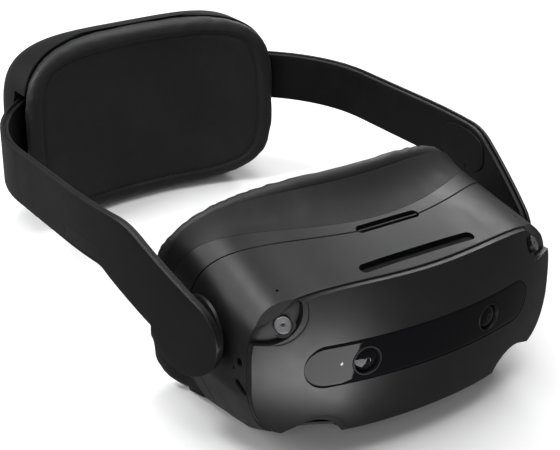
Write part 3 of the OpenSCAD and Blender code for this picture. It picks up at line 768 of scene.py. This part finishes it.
def colour_camera(side, name):
    """Barrel, domed lens and iris ring of one pass-through camera."""
    place = (side * CAMERA_HALF_GAP, 0, 0)
    way = camera_way(side)
    barrel = turned(
        [(-9, 0), (-9, 6.6), (-0.3, 6.6), (-0.05, 6.35), (-0.05, 5.9), (-0.7, 5.5), (-2.4, 5.35), (-2.4, 0)],
        place, way, 96,
    )
    piece(f"colour_camera_{name}_barrel", barrel, "visor", TRIM, [f"colour_camera_{name}"])
    dome_r, dome_middle, iris_r = 10.5, -10.6, 1.6
    dome = [(-2.35, 0), (-2.35, 5.25)]
    for a in np.linspace(0.5236, 0.0, 14):
        dome.append((dome_middle + dome_r * math.cos(a), dome_r * math.sin(a)))
    piece(
        f"colour_lens_{name}_dome", turned(dome, place, way, 96), "visor", LENS,
        [f"colour_lens_{name}"],
    )
    low = dome_middle + math.sqrt(dome_r**2 - iris_r**2)
    iris = turned(
        [(low - 0.3, 1.2), (low + 0.1, 1.25), (low + 0.14, 1.4), (low + 0.08, 1.55), (low - 0.3, iris_r)],
        place, way, 64,
    )
    piece(f"colour_lens_{name}_iris", iris, "visor", LENS_RING)


colour_camera(1, "left")
colour_camera(-1, "right")


def sunk_place(level):
    """Place and way of the left-hand corner camera at the top or bottom, sunk under its facet."""
    position, way = CORNERS[level]
    way = Vector(way).normalized()
    return Vector(position) - SUNK * way, way


def tracking_camera(side, level, name):
    """Holder and rings of one corner camera, and the shape of its cover."""
    mirror = Vector((side, 1, 1))
    position, way = (v * mirror for v in sunk_place(level))
    lip = [(-3.4, 3.62), (-0.7, 3.62), (-0.55, 3.5), (-0.9, 3.42)]
    holder = [(-12, 0), (-12, 5), (-3.4, 5), *lip, (-0.9, 0)]
    piece(
        f"tracking_camera_{name}_holder", turned(holder, position, way, 72), "visor", SHELL,
        [f"tracking_camera_{name}"],
    )
    rings = []
    # Two fine raised rings; their lighter metal paints in the highlights on the cover's rings.
    for r in (3.05, 1.05):
        profile = [(-0.7, r - 0.2), (-0.46, r - 0.16), (-0.4, r), (-0.46, r + 0.16), (-0.7, r + 0.2)]
        rings.append(turned(profile, position, way, 72))
    piece(f"tracking_rings_{name}", joined(*rings), "visor", RING_METAL_PAINTED_HIGHLIGHT)
    cover = [(-1.2, 0), (-1.2, 3.38), (-0.6, 3.36), (-0.52, 3.25), (-0.48, 0.8), (-0.8, 0.7), (-0.8, 0)]
    return turned(cover, position, way, 72)


covers = [
    tracking_camera(side, level, f"{level}_{name}")
    for level in CORNERS
    for side, name in ((1, "left"), (-1, "right"))
]
# The covers' grey base colour is partly their own dark tone and partly painted reflection.
piece("tracking_lens_covers", joined(*covers), "visor", COVER_GREY_PAINTED_REFLECTION, ["tracking_lenses"])
pupils = []
for level, (_, way) in CORNERS.items():
    sunk = sunk_place(level)[0]
    pupil = turned([(-0.82, 0), (-0.82, 0.72), (-0.62, 0.55), (-0.55, 0)], sunk, way, 32)
    pupils += both_sides(pupil)
piece("tracking_pupils", joined(*pupils), "visor", LENS)

# ---------- face interface ----------


def hood_section(y, inset, t=T):
    """The hood starts on the visor's form at the crease and scoops up to its rim."""
    half_w = VISOR_HALF_W + 0.01 * y
    x, _ = oval(half_w, 1, 1, 3.2, 3.6, t)
    first, last = drum_y(x, CREASE_Y, CREASE_R), drum_y(x, RIM_Y, RIM_R)
    s = np.clip((y - first) / np.maximum(last - first, 1), 0, 1.3)
    start_up = visor_up(first)
    scoop = HOOD_SCOOP * np.sin(math.pi * np.minimum(s, 1))
    up = start_up + (HOOD_UP - start_up) * (s - scoop)
    x, z = flank(half_w + 1.2 * s - inset, up - inset, visor_down(y) - inset, y, t)
    return x, z + VISOR_MID_Z


def eye_outline(grow):
    """Outline (x, z) of the opening for the eyes and nose, grown by a distance."""
    fine = full_turn(4000)
    x, z = evenly(oval(63 + grow, 31 + grow, 25 + grow, 2.6, 2.6, fine), AROUND)
    return x, z + EYE_Z


def face_frame():
    """Hood with an inner flange that carries the pad."""
    wall, flange_t, rim_edge = 2.4, 2.0, 0.4
    flange_y, flange_r = 48.5, 134.5
    flange_cut = drum_at(flange_y, flange_r)
    flange_rear = drum_at(flange_y + flange_t, flange_r - flange_t)
    front_y = settled(0, drum_at(CREASE_Y, CREASE_R), hood_section)[1]
    rear_y = settled(0, drum_at(RIM_Y, RIM_R), hood_section)[1]
    flange = settled(wall, flange_cut, hood_section)
    inner = eye_outline(0)
    start = front_y + 0.04
    rows = [section_ring(start, FINE_EDGE, hood_section)]
    rows += along(start + 0.06, rear_y - rim_edge, 0, np.linspace(0, 1, 22), hood_section)
    rows.append(section_ring(rear_y, rim_edge, hood_section))
    rows += along(rear_y, flange[1] + flange_t, wall, np.linspace(0, 1, 4), hood_section)
    rows += wall_rings(flange[::2], inner, flange_rear, np.linspace(0.1, 1, 5))
    rows += wall_rings(flange[::2], inner, flange_cut, np.linspace(1, 0.1, 5))
    rows += along(flange[1], front_y + GAP, wall, np.linspace(0, 1, 3), hood_section)
    return grid_shape(rows, wrap_rows=True)


def below_table():
    """Everything under the table top, in the band's frame."""
    return moved(box_shape((-0.12, -0.16, -0.2), (0.12, 0.16, 0.0)), BAND.inverted())


piece(
    "face_hood", face_frame(), "face", TRIM, ["face_frame"],
    nose_tools + [below_table()],
)


def roll(squareness):
    """Closed loop of (across, along) points of a rounded bar, from 0 to 1 each way."""
    angles = full_turn(40)
    u, v = root(np.cos(angles), squareness), root(np.sin(angles), squareness)
    return list(zip(0.5 + 0.5 * u, 0.5 + 0.5 * v))


def face_pad():
    """C-shaped pad: a rounded section swept round the eye opening from cheek to cheek."""
    fine = full_turn(8000)
    rim_x, rim_z = evenly(oval(80.3, HOOD_UP + 0.5, 45.8, 3.1, 5.0, fine), AROUND)
    lip_x, lip_z = evenly(oval(82.0, LIP_UP, 46.5, LIP_SQUARENESS, 5.0, fine), AROUND)
    inner_x, inner_z = eye_outline(-2.0)
    nose_half_w = 21.5
    keep = [i for i in range(AROUND) if abs(inner_x[i]) >= nose_half_w or inner_z[i] >= -5]
    first = next(k for k in range(len(keep) - 1) if keep[k + 1] - keep[k] > 1) + 1
    order = keep[first:] + keep[:first]
    rows = []
    for k in order:
        loop = []
        for u, v in roll(4.5):
            grown = min(v / 0.75, 1)
            x = inner_x[k] + (rim_x[k] + (lip_x[k] - rim_x[k]) * grown - inner_x[k]) * u
            outer_z = rim_z[k] + (lip_z[k] - rim_z[k]) * grown + VISOR_MID_Z
            z = inner_z[k] + (outer_z - inner_z[k]) * u
            front = float(drum_y(np.array(x), RIM_Y - 0.6, RIM_R))
            back = float(drum_y(np.array(x), 61.5, 122.0))
            loop.append((x, front + (back - front) * v, z))
        rows.append(loop)
    return grid_shape(rows, cap=True)


CLOTH_STEPS = 16


def upholstered(name, shape, voxel, pressure, reach, skip):
    """Closed form, swollen by a cloth simulation and then smoothed."""
    obj = raw(name, shape)
    remesh = obj.modifiers.new("remesh", "REMESH")
    remesh.mode = "VOXEL"
    remesh.voxel_size = voxel
    remesh.use_smooth_shade = True
    applied(obj)
    if not skip:
        rest = np.array([v.co for v in obj.data.vertices])
        cloth = obj.modifiers.new("cloth", "CLOTH")
        settings = cloth.settings
        settings.use_pressure = True
        settings.uniform_pressure_force = pressure
        settings.effector_weights.gravity = 0
        settings.tension_stiffness = 15
        settings.bending_stiffness = 0.6
        cloth.point_cache.frame_start = 1
        cloth.point_cache.frame_end = CLOTH_STEPS
        for step in range(1, CLOTH_STEPS + 1):
            bpy.context.scene.frame_set(step)
        depsgraph = bpy.context.evaluated_depsgraph_get()
        swollen = obj.evaluated_get(depsgraph).to_mesh()
        now = np.array([v.co for v in swollen.vertices])
        obj.modifiers.clear()
        bpy.context.scene.frame_set(1)
        shift = now - rest
        far = np.linalg.norm(shift, axis=1, keepdims=True)
        shift *= np.minimum(1, reach / np.maximum(far, 1e-9))
        obj.data.vertices.foreach_set("co", (rest + shift).astype(np.float32).ravel())
    smooth = obj.modifiers.new("smooth", "SMOOTH")
    smooth.factor = 0.5
    smooth.iterations = 24
    subdivide = obj.modifiers.new("subdivide", "SUBSURF")
    subdivide.levels = 1
    subdivide.render_levels = 1
    applied(obj)
    return obj


pad = upholstered("face_pad", face_pad(), 0.0017, 2.0, 0.0006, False)
cut(pad, below_table())
dress(pad, "face", SILICONE, ["face_cushion"], 60)

# ---------- band ----------


def band_x(y):
    """Outer face of the band's front length at a distance y."""
    return BAND_HALF_W - FRONT_ARC_R + np.sqrt(FRONT_ARC_R**2 - np.minimum(y - FRONT_ARC_Y, 0) ** 2)


def arm_edges(y, inset):
    """Lower and upper edge of an arm's side view at the distances y."""
    up = BAND_TOP - inset
    low = BAND_BOTTOM + inset
    r = PADDLE_R - inset
    slope = math.radians(NECK_SLOPE)
    start_y = PIVOT_Y - r * math.sin(slope)
    start_z = PIVOT_Z + r * math.cos(slope)
    fillet, low_fillet, low_slope, low_corner_y = 30.0, 12.0, math.radians(34), 98.0
    corner_y = start_y + (up - start_z) / math.tan(slope)
    touch = fillet * math.tan(slope / 2)
    ramp_end = corner_y + touch - fillet * math.sin(slope)
    half = np.sqrt(np.maximum(r * r - (y - PIVOT_Y) ** 2, 0))
    high = np.where(y < start_y, PIVOT_Z + half, start_z + (y - start_y) * math.tan(slope))
    arc = up - fillet + np.sqrt(np.maximum(fillet**2 - (y - corner_y - touch) ** 2, 0))
    high = np.where(y > ramp_end, arc, high)
    high = np.where(y > corner_y + touch, up, high)
    bend_y = low_corner_y + low_fillet * math.tan(low_slope / 2) - inset
    neck = math.radians(8)
    neck_y, neck_z = PIVOT_Y + r * math.cos(neck), PIVOT_Z - r * math.sin(neck)
    turn_y = bend_y - low_fillet * math.sin(low_slope)
    turn_z = low - low_fillet + low_fillet * math.cos(low_slope)
    neck_line = neck_z + (y - neck_y) * (turn_z - neck_z) / (turn_y - neck_y)
    bottom = np.where(y < neck_y, PIVOT_Z - half, neck_line)
    arc = low - low_fillet + np.sqrt(np.maximum(low_fillet**2 - (y - bend_y) ** 2, 0))
    bottom = np.where(y > turn_y, arc, bottom)
    return np.where(y > bend_y, low, bottom), high


def rounded_bar(x_out, x_in, low, high, edge=0.45):
    """Loop of one cross-section between two faces, with rounded corners."""
    edge = min(edge, (high - low) / 2.2, abs(x_out - x_in) / 2.2)
    span = np.linspace(0, 1, 9)
    loop = []
    for cx, cz, a in (
        (x_out - edge, high - edge, 0), (x_in + edge, high - edge, 90),
        (x_in + edge, low + edge, 180), (x_out - edge, low + edge, 270),
    ):
        corner = [
            (cx + edge * math.cos(math.radians(a + d)), cz + edge * math.sin(math.radians(a + d)))
            for d in (0, 30, 60, 90)
        ]
        loop += corner
        if a in (90, 270):
            first, last = corner[-1], (cx, (low + edge) if a == 90 else (high - edge))
            loop += [(first[0], first[1] + (last[1] - first[1]) * s) for s in span[1:-1]]
    return loop


def arm_layer(outer, inner, inset):
    """One layer of the left arm, between two depths under the band's outer face."""
    r = PADDLE_R - inset
    tip = [PIVOT_Y - r * math.cos(a) for a in np.linspace(0.06, math.pi / 2, 22)]
    rest = np.linspace(PIVOT_Y, PIVOT_Y + r, 22)[1:]
    run = np.linspace(PIVOT_Y + r + 1.5, SPLIT_Y - 0.06, 60)
    rows = []
    for y in [*tip, *rest, *run]:
        low, high = (float(v) for v in arm_edges(np.array(y), inset))
        x = float(band_x(y))
        rows.append([(px, y, pz) for px, pz in rounded_bar(x - outer, x - inner, low, high)])
    return grid_shape(rows, cap=True)


def side_turn(profile):
    """Turned shape on the left pivot's axis, with heights measured along X."""
    return turned(profile, (0, PIVOT_Y, PIVOT_Z), (1, 0, 0), 96)


def arm():
    """Left arm's outer shell, with the disc that turns on the pivot boss."""
    bore_r, rim = 3.1, [(80.6, BOSS_R - 0.9), (80.9, BOSS_R - 0.2), (81.6, BOSS_R), (84.2, BOSS_R)]
    disc = side_turn([(80.6, bore_r), *rim, (84.2, bore_r)])
    return joined(arm_layer(0, ARM_T, 0), disc)


def inlay(outer, inner, inset):
    """Blank plate on the right arm, or the cutter for its recess."""
    low, high = 20.8 + inset, 28.2 - inset
    rows = []
    for y in np.linspace(99 + inset, 130 - inset, 14):
        x = float(band_x(y))
        rows.append([(x - outer, y, low), (x - outer, y, high), (x - inner, y, high), (x - inner, y, low)])
    return mirrored(grid_shape(rows, cap=True))


def strap_layer(outer, inner, inset):
    """One layer of the band's left rear length, between two depths under its outer face."""
    low, high = BAND_BOTTOM + inset, BAND_TOP - inset
    start = rounded_bar(BAND_HALF_W - outer, BAND_HALF_W - inner, low, high)
    rows = [[(x, SPLIT_Y + 0.02, z) for x, z in start]]
    loop = rounded_bar(BEND_R - outer, BEND_R - inner, low, high)
    for a in np.radians(np.linspace(0.5, STRAP_TIP, 40)):
        c, s = math.cos(a), math.sin(a)
        rows.append([(BAND_HALF_W - BEND_R + r * c, SPLIT_Y + r * s, z) for r, z in loop])
    return grid_shape(rows, cap=True)


def strap():
    """Left rear length of the band, with the flat tongue that slides in the hollow arm."""
    tongue = box_shape(
        (BAND_HALF_W - 2.5, SPLIT_Y - 36, BAND_BOTTOM + 3), (BAND_HALF_W - 1.65, SPLIT_Y + 1, BAND_TOP - 3)
    )
    return joined(strap_layer(0, ARM_T, 0), strap_layer(1.4, 1.8, 0.8), tongue)


def hub():
    """Left pivot boss: a disc with the pin that the arm turns on."""
    return side_turn(
        [(71, 0), (71, 12), (78.2, 12), (78.2, BOSS_R + 0.6), (78.9, BOSS_R + 0.6), (79.5, BOSS_R + 0.4),
         (80.2, BOSS_R - 0.6), (80.35, BOSS_R - 1.2), (80.35, 3), (86.3, 3), (86.6, 2.7), (86.6, 0)]
    )


def speaker():
    """Flat rounded pod on the left arm's inner side."""
    middle_y, middle_z, half_len, half_h, squareness = 92, 33.2, 18, 10, 2.6
    rows = []
    for s in np.sin(np.linspace(-0.499, 0.499, 44) * math.pi):
        y = middle_y + half_len * s
        full = (1 - abs(s) ** squareness) ** (1 / squareness)
        x = float(band_x(y)) - ARM_ALL_T
        tall = half_h * full
        loop = rounded_bar(x - 0.02, x - 0.1 - 0.9 * full, middle_z - tall, middle_z + tall, 1.3)
        rows.append([(px, y, pz) for px, pz in loop])
    return grid_shape(rows, cap=True)


LINER = (ARM_T + 0.25, ARM_ALL_T, 0.8)
for side, name in ((1, "left"), (-1, "right")):
    recess = [inlay(-1, 0.62, 0)] if side < 0 else []
    piece(f"band_arm_{name}", on_side(arm(), side), "band", SHELL, [f"arm_{name}"], recess)
    liner = on_side(arm_layer(*LINER), side)
    piece(f"band_liner_{name}", liner, "band", TRIM, [f"arm_liner_{name}"])
    pod = on_side(speaker(), side)
    holes = [rod((side * 92, 88 + 4.2 * i, 18), (0, 0, 1), 8, 0.8, 16) for i in range(5)]
    piece(f"band_speaker_{name}", pod, "band", TRIM, [f"speaker_{name}"], holes)
    piece(f"band_strap_{name}", on_side(strap(), side), "pack", SHELL, [f"strap_{name}"])
    lining = on_side(strap_layer(*LINER), side)
    piece(f"band_strap_lining_{name}", lining, "pack", TRIM)
    piece(f"pivot_boss_{name}", on_side(hub(), side), "visor", SHELL, [f"pivot_hub_{name}"])
piece("band_inlay", inlay(0.05, 0.6, 0.12), "band", INLAY, ["arm_inlay"])

# ---------- pack ----------

DISC_INSET, DISC_SCALES = 4.0, (0.6, 0.3, 0.02)


def hollow_at(r):
    """Cut along the pack's hollow front, an upright drum round the head."""
    return lambda x: PACK_CENTRE_Y + np.sqrt(r * r - x * x)


def flat_at(y):
    return lambda x: np.full(len(x), y)


def pack_ring(inset, place, scale=1.0, further=0.0):
    """Ring of the pack's squared-off outline, moved in twice and scaled, on a cut."""
    fine = full_turn(8000)
    half_w, half_h = (PACK_HALF_W - inset - further) * scale, (PACK_HALF_H - inset - further) * scale
    x, z = evenly(oval(half_w, half_h, half_h, 4, 4, fine), AROUND)
    return ring(x, place(x), z + PACK_MID_Z)


def pack_discs(inset, scales, place, further=0.0):
    """Rings towards or from the outline's middle."""
    return [pack_ring(inset, place, scale, further) for scale in scales]


def pack_skin(inset):
    """Rings from the front edge over the rounded shoulder to the middle of the back."""
    rows = []
    round_r, back_inset = 21.0, 15.0
    shoulder = PACK_BACK_Y - round_r - inset
    front = pack_ring(inset, hollow_at(PACK_HOLLOW_R + 0.3))
    for s in np.linspace(0, 1, 6):
        y = front[:, 1] * (1 - s) + shoulder * s
        rows.append(np.stack([front[:, 0], y, front[:, 2]], axis=1))
    for a in np.linspace(0.1, math.pi / 2, 14):
        shrink = back_inset * (1 - math.cos(a)) ** 1.1
        rows.append(pack_ring(inset + shrink, flat_at(shoulder + round_r * math.sin(a) ** 0.9)))
    back = flat_at(shoulder + round_r)
    return rows + pack_discs(inset, (0.75, 0.5, 0.25, 0.02), back, back_inset)


def pack_housing():
    """Thick closed skin of the battery pack, open towards the head."""
    outer, inner = pack_skin(0), pack_skin(WALL)
    lip = pack_ring(0.5, hollow_at(PACK_HOLLOW_R + 0.3))
    outer[0] = outer[0] + (0, 0.5, 0)
    return grid_shape([*inner[::-1], lip, *outer], cap=True)


def flatten_on_table(obj):
    """Lifts the points that would sink into the table."""
    for vertex in obj.data.vertices:
        vertex.co.z = max(vertex.co.z, 0.0)


strap_slots = both_sides(box_shape((56, 222, BAND_BOTTOM - 4), (80, 241.5, BAND_TOP + 4)))
dial_recess = rod((0, PACK_BACK_Y - 4, PACK_MID_Z), (0, 1, 0), 10, DIAL_R + 0.4, 96)
shell = piece(
    "pack_shell", pack_housing(), "pack", SHELL, ["pack_housing"],
    strap_slots + [dial_recess],
)
flatten_on_table(shell)


def pack_tray():
    """Curved panel that closes the pack behind the pad."""
    front_r, rear_r = PACK_HOLLOW_R + 0.2, PACK_HOLLOW_R + 2.2
    rows = [
        pack_ring(DISC_INSET, hollow_at(rear_r)),
        pack_ring(2.6, hollow_at(rear_r)),
        pack_ring(2.4, hollow_at(rear_r - 0.2)),
        pack_ring(2.4, hollow_at(front_r + 0.1)),
        pack_ring(DISC_INSET, hollow_at(front_r)),
    ]
    rows += pack_discs(DISC_INSET, DISC_SCALES, hollow_at(front_r))
    rows += pack_discs(DISC_INSET, DISC_SCALES[::-1], hollow_at(rear_r))
    return grid_shape(rows, wrap_rows=True)


piece("pack_inner_tray", pack_tray(), "pack", TRIM, ["pack_tray"], strap_slots)


def cushion_y(x):
    """Distance of the rear pad's face at x."""
    return CUSHION_MID_Y - CUSHION_FACE_R + np.sqrt(CUSHION_FACE_R**2 - x * x)


def rear_pad():
    """Thick pad with a full, rounded border."""
    base = hollow_at(PACK_HOLLOW_R - 0.2)
    rows = [pack_ring(DISC_INSET, base), pack_ring(0.1, base)]
    for inset, drop in ((-0.1, 5.0), (0.2, 2.6), (0.9, 1.2), (2.2, 0.3), (4.0, 0.0), (8.0, 0.0)):
        rows.append(pack_ring(inset, lambda x, drop=drop: cushion_y(x) + drop))
    rows += pack_discs(DISC_INSET, (0.7, 0.5, 0.3, 0.12, 0.02), cushion_y)
    rows += pack_discs(DISC_INSET, DISC_SCALES[::-1], base)
    return grid_shape(rows, wrap_rows=True)


def inset_of(x, z):
    """Distance of a point from the pack's outline, inwards."""
    u, v = np.abs(x) / PACK_HALF_W, np.abs(z - PACK_MID_Z) / PACK_HALF_H
    rho = np.maximum((u**4 + v**4) ** 0.25, 1e-6)
    slope = np.hypot(u**3 / PACK_HALF_W, v**3 / PACK_HALF_H) / rho**3
    return (1 - rho) / np.maximum(slope, 1 / PACK_HALF_W)


def soft_step(value, low, high):
    s = np.clip((value - low) / (high - low), 0, 1)
    return s * s * (3 - 2 * s)


def step_face(obj):
    """Sinks the pad's middle behind a rolled border, with a stitched groove between them."""
    to_band = BAND.inverted()
    points = np.array([to_band @ v.co for v in obj.data.vertices])
    x, y, z = points.T
    front = soft_step(6.0 - (y - cushion_y(np.clip(x, -80, 80))), 0, 3)
    d = inset_of(x, z)
    groove = np.exp(-(((d - 8.6) / 1.1) ** 2))
    sink = 1.3 * soft_step(d, 7.6, 9.6) + 0.9 * groove
    stitch = 0.25 * groove * np.cos((x + z) * 2.2)
    points[:, 1] += front * (sink + stitch)
    moved_points = np.array([BAND @ Vector(p) for p in points], np.float32)
    obj.data.vertices.foreach_set("co", moved_points.ravel())
    obj.data.update()


cushion = upholstered("rear_pad", rear_pad(), 0.0019, 3.0, 0.0010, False)
step_face(cushion)
flatten_on_table(cushion)
dress(cushion, "pack", PAD, ["rear_cushion"], 60)


def dial():
    """Knurled knob with a dished face. The profile's points are (distance, radius, share of the knurl)."""
    angles = full_turn(240)
    knurl = 0.55 * np.abs(np.cos(12 * angles)) ** 6
    profile = (
        (-15, 3.0, 0), (-3.8, 3.0, 0), (-3.8, DIAL_R - 0.4, 0), (-3.4, DIAL_R, 0), (-1.0, DIAL_R, 0.6),
        (1.9, DIAL_R - 0.1, 1), (2.4, DIAL_R - 0.5, 1), (2.6, DIAL_R - 1.1, 0.5), (2.6, DIAL_R - 3.2, 0),
        (1.9, DIAL_R - 4.2, 0), (1.5, DIAL_R - 6.0, 0), (1.5, 0.2, 0),
    )
    rows = []
    for y, r, share in profile:
        radius = r - share * knurl
        depth = np.full(len(angles), PACK_BACK_Y + y)
        rows.append(ring(radius * np.cos(angles), depth, PACK_MID_Z + radius * np.sin(angles)))
    return grid_shape(rows, cap=True)


piece("fit_dial_knob", dial(), "dial", TRIM, ["fit_dial"])

# ---------- CAD nodes that keep their shape ----------

LOOKS = {
    DEEP: ["chassis", "fan_housing", "fan_rotor", "lens_barrel_left", "lens_barrel_right",
           "rack_left", "rack_right", "eyepiece_panel"],
    TRIM: ["power_button", "volume_up_button", "volume_down_button"],
    CAST: ["heat_sink"],
    STEEL: ["slide_rods", "eye_gap_pinion", "fit_pinion", "visor_screws", "face_magnets"],
    PORT: ["usb_port", "audio_jack"],
    WINDOW: ["display_left", "display_right", "proximity_window"],
    EYE_GLASS: ["eye_lens_left", "eye_lens_right"],
    BOARD: ["mainboard", "charge_board"],
    WRAP: ["battery_cells"],
    LIGHT: ["status_light"],
}
for look, names in LOOKS.items():
    for name in names:
        obj = nodes[name]
        obj.data.materials.clear()
        obj.data.materials.append(look)

# ---------- stage, light and camera ----------


def floor():
    """Pale floor that lights the headset but isn't mirrored in it."""
    points = [(-4, -4, 0), (4, -4, 0), (4, 4, 0), (-4, 4, 0)]
    mesh = bpy.data.meshes.new("floor")
    mesh.from_pydata(points, [], [(0, 1, 2, 3)])
    obj = placed("floor", mesh)
    pale, slightly_darker = (0.86, 0.86, 0.865), (0.8471, 0.8471, 0.852)
    mat = material("floor_pale", pale, 0.7)
    tint(mat, noise(mat, 3, 2), slightly_darker, pale)
    mesh.materials.append(mat)
    obj.visible_glossy = False


def softbox(name, position, target, width, height, power):
    light = bpy.data.lights.new(name, "AREA")
    light.shape = "RECTANGLE"
    light.size, light.size_y = width, height
    light.energy = power
    obj = placed(name, light)
    obj.location = position
    obj.rotation_euler = (Vector(target) - Vector(position)).to_track_quat("-Z", "Y").to_euler()
    return obj


floor()
middle = spot(0, 80, 10)
softbox("key_left", (-1.3, 0.9, 0.8), middle, 0.6, 0.9, 11)
softbox("edge_right", (1.1, 0.75, 0.9), middle, 0.9, 0.25, 10)
softbox("overhead", (0.2, 0.1, 2.6), middle, 2.0, 2.0, 60)
softbox("front_fill", (-0.95, -1.15, 0.85), middle, 0.6, 0.6, 4.5)
softbox("rear_pool", (-0.34, 0.16, 0.5), (-0.34, 0.16, 0), 0.12, 0.12, 2.2)
front_card = softbox("front_card", spot(-58, -100, -50), spot(-58, -100, 50), 0.095, 0.13, 0.42)
front_card.rotation_euler = (math.pi, 0, math.radians(18))
front_card.visible_camera = False
world = bpy.data.worlds.new("studio")
world.use_nodes = True
sky = world.node_tree.nodes["Background"]
sky.inputs["Color"].default_value = (1, 1, 1, 1)
sky.inputs["Strength"].default_value = 0.24
bpy.context.scene.world = world
bpy.context.scene.view_settings.view_transform = "Standard"

CAMERA_AZIMUTH, CAMERA_ELEVATION, CAMERA_DISTANCE = -33.816, 25.0, 576.0
CAMERA_TARGET = (-38.26, 53.33, 40.52)
az, el = math.radians(CAMERA_AZIMUTH), math.radians(CAMERA_ELEVATION)
from_target = Vector((math.sin(az) * math.cos(el), -math.cos(az) * math.cos(el), math.sin(el)))
lens = bpy.data.cameras.new("camera")
lens.sensor_width = 36
lens.lens = 90
lens.clip_start = 0.01
camera = placed("camera", lens)
eye = spot(*(Vector(CAMERA_TARGET) + CAMERA_DISTANCE * from_target))
turn = Matrix.Rotation(LEAN, 3, "X") @ (-from_target).to_track_quat("-Z", "Y").to_matrix()
camera.matrix_world = Matrix.Translation(eye) @ turn.to_4x4()
bpy.context.scene.camera = camera
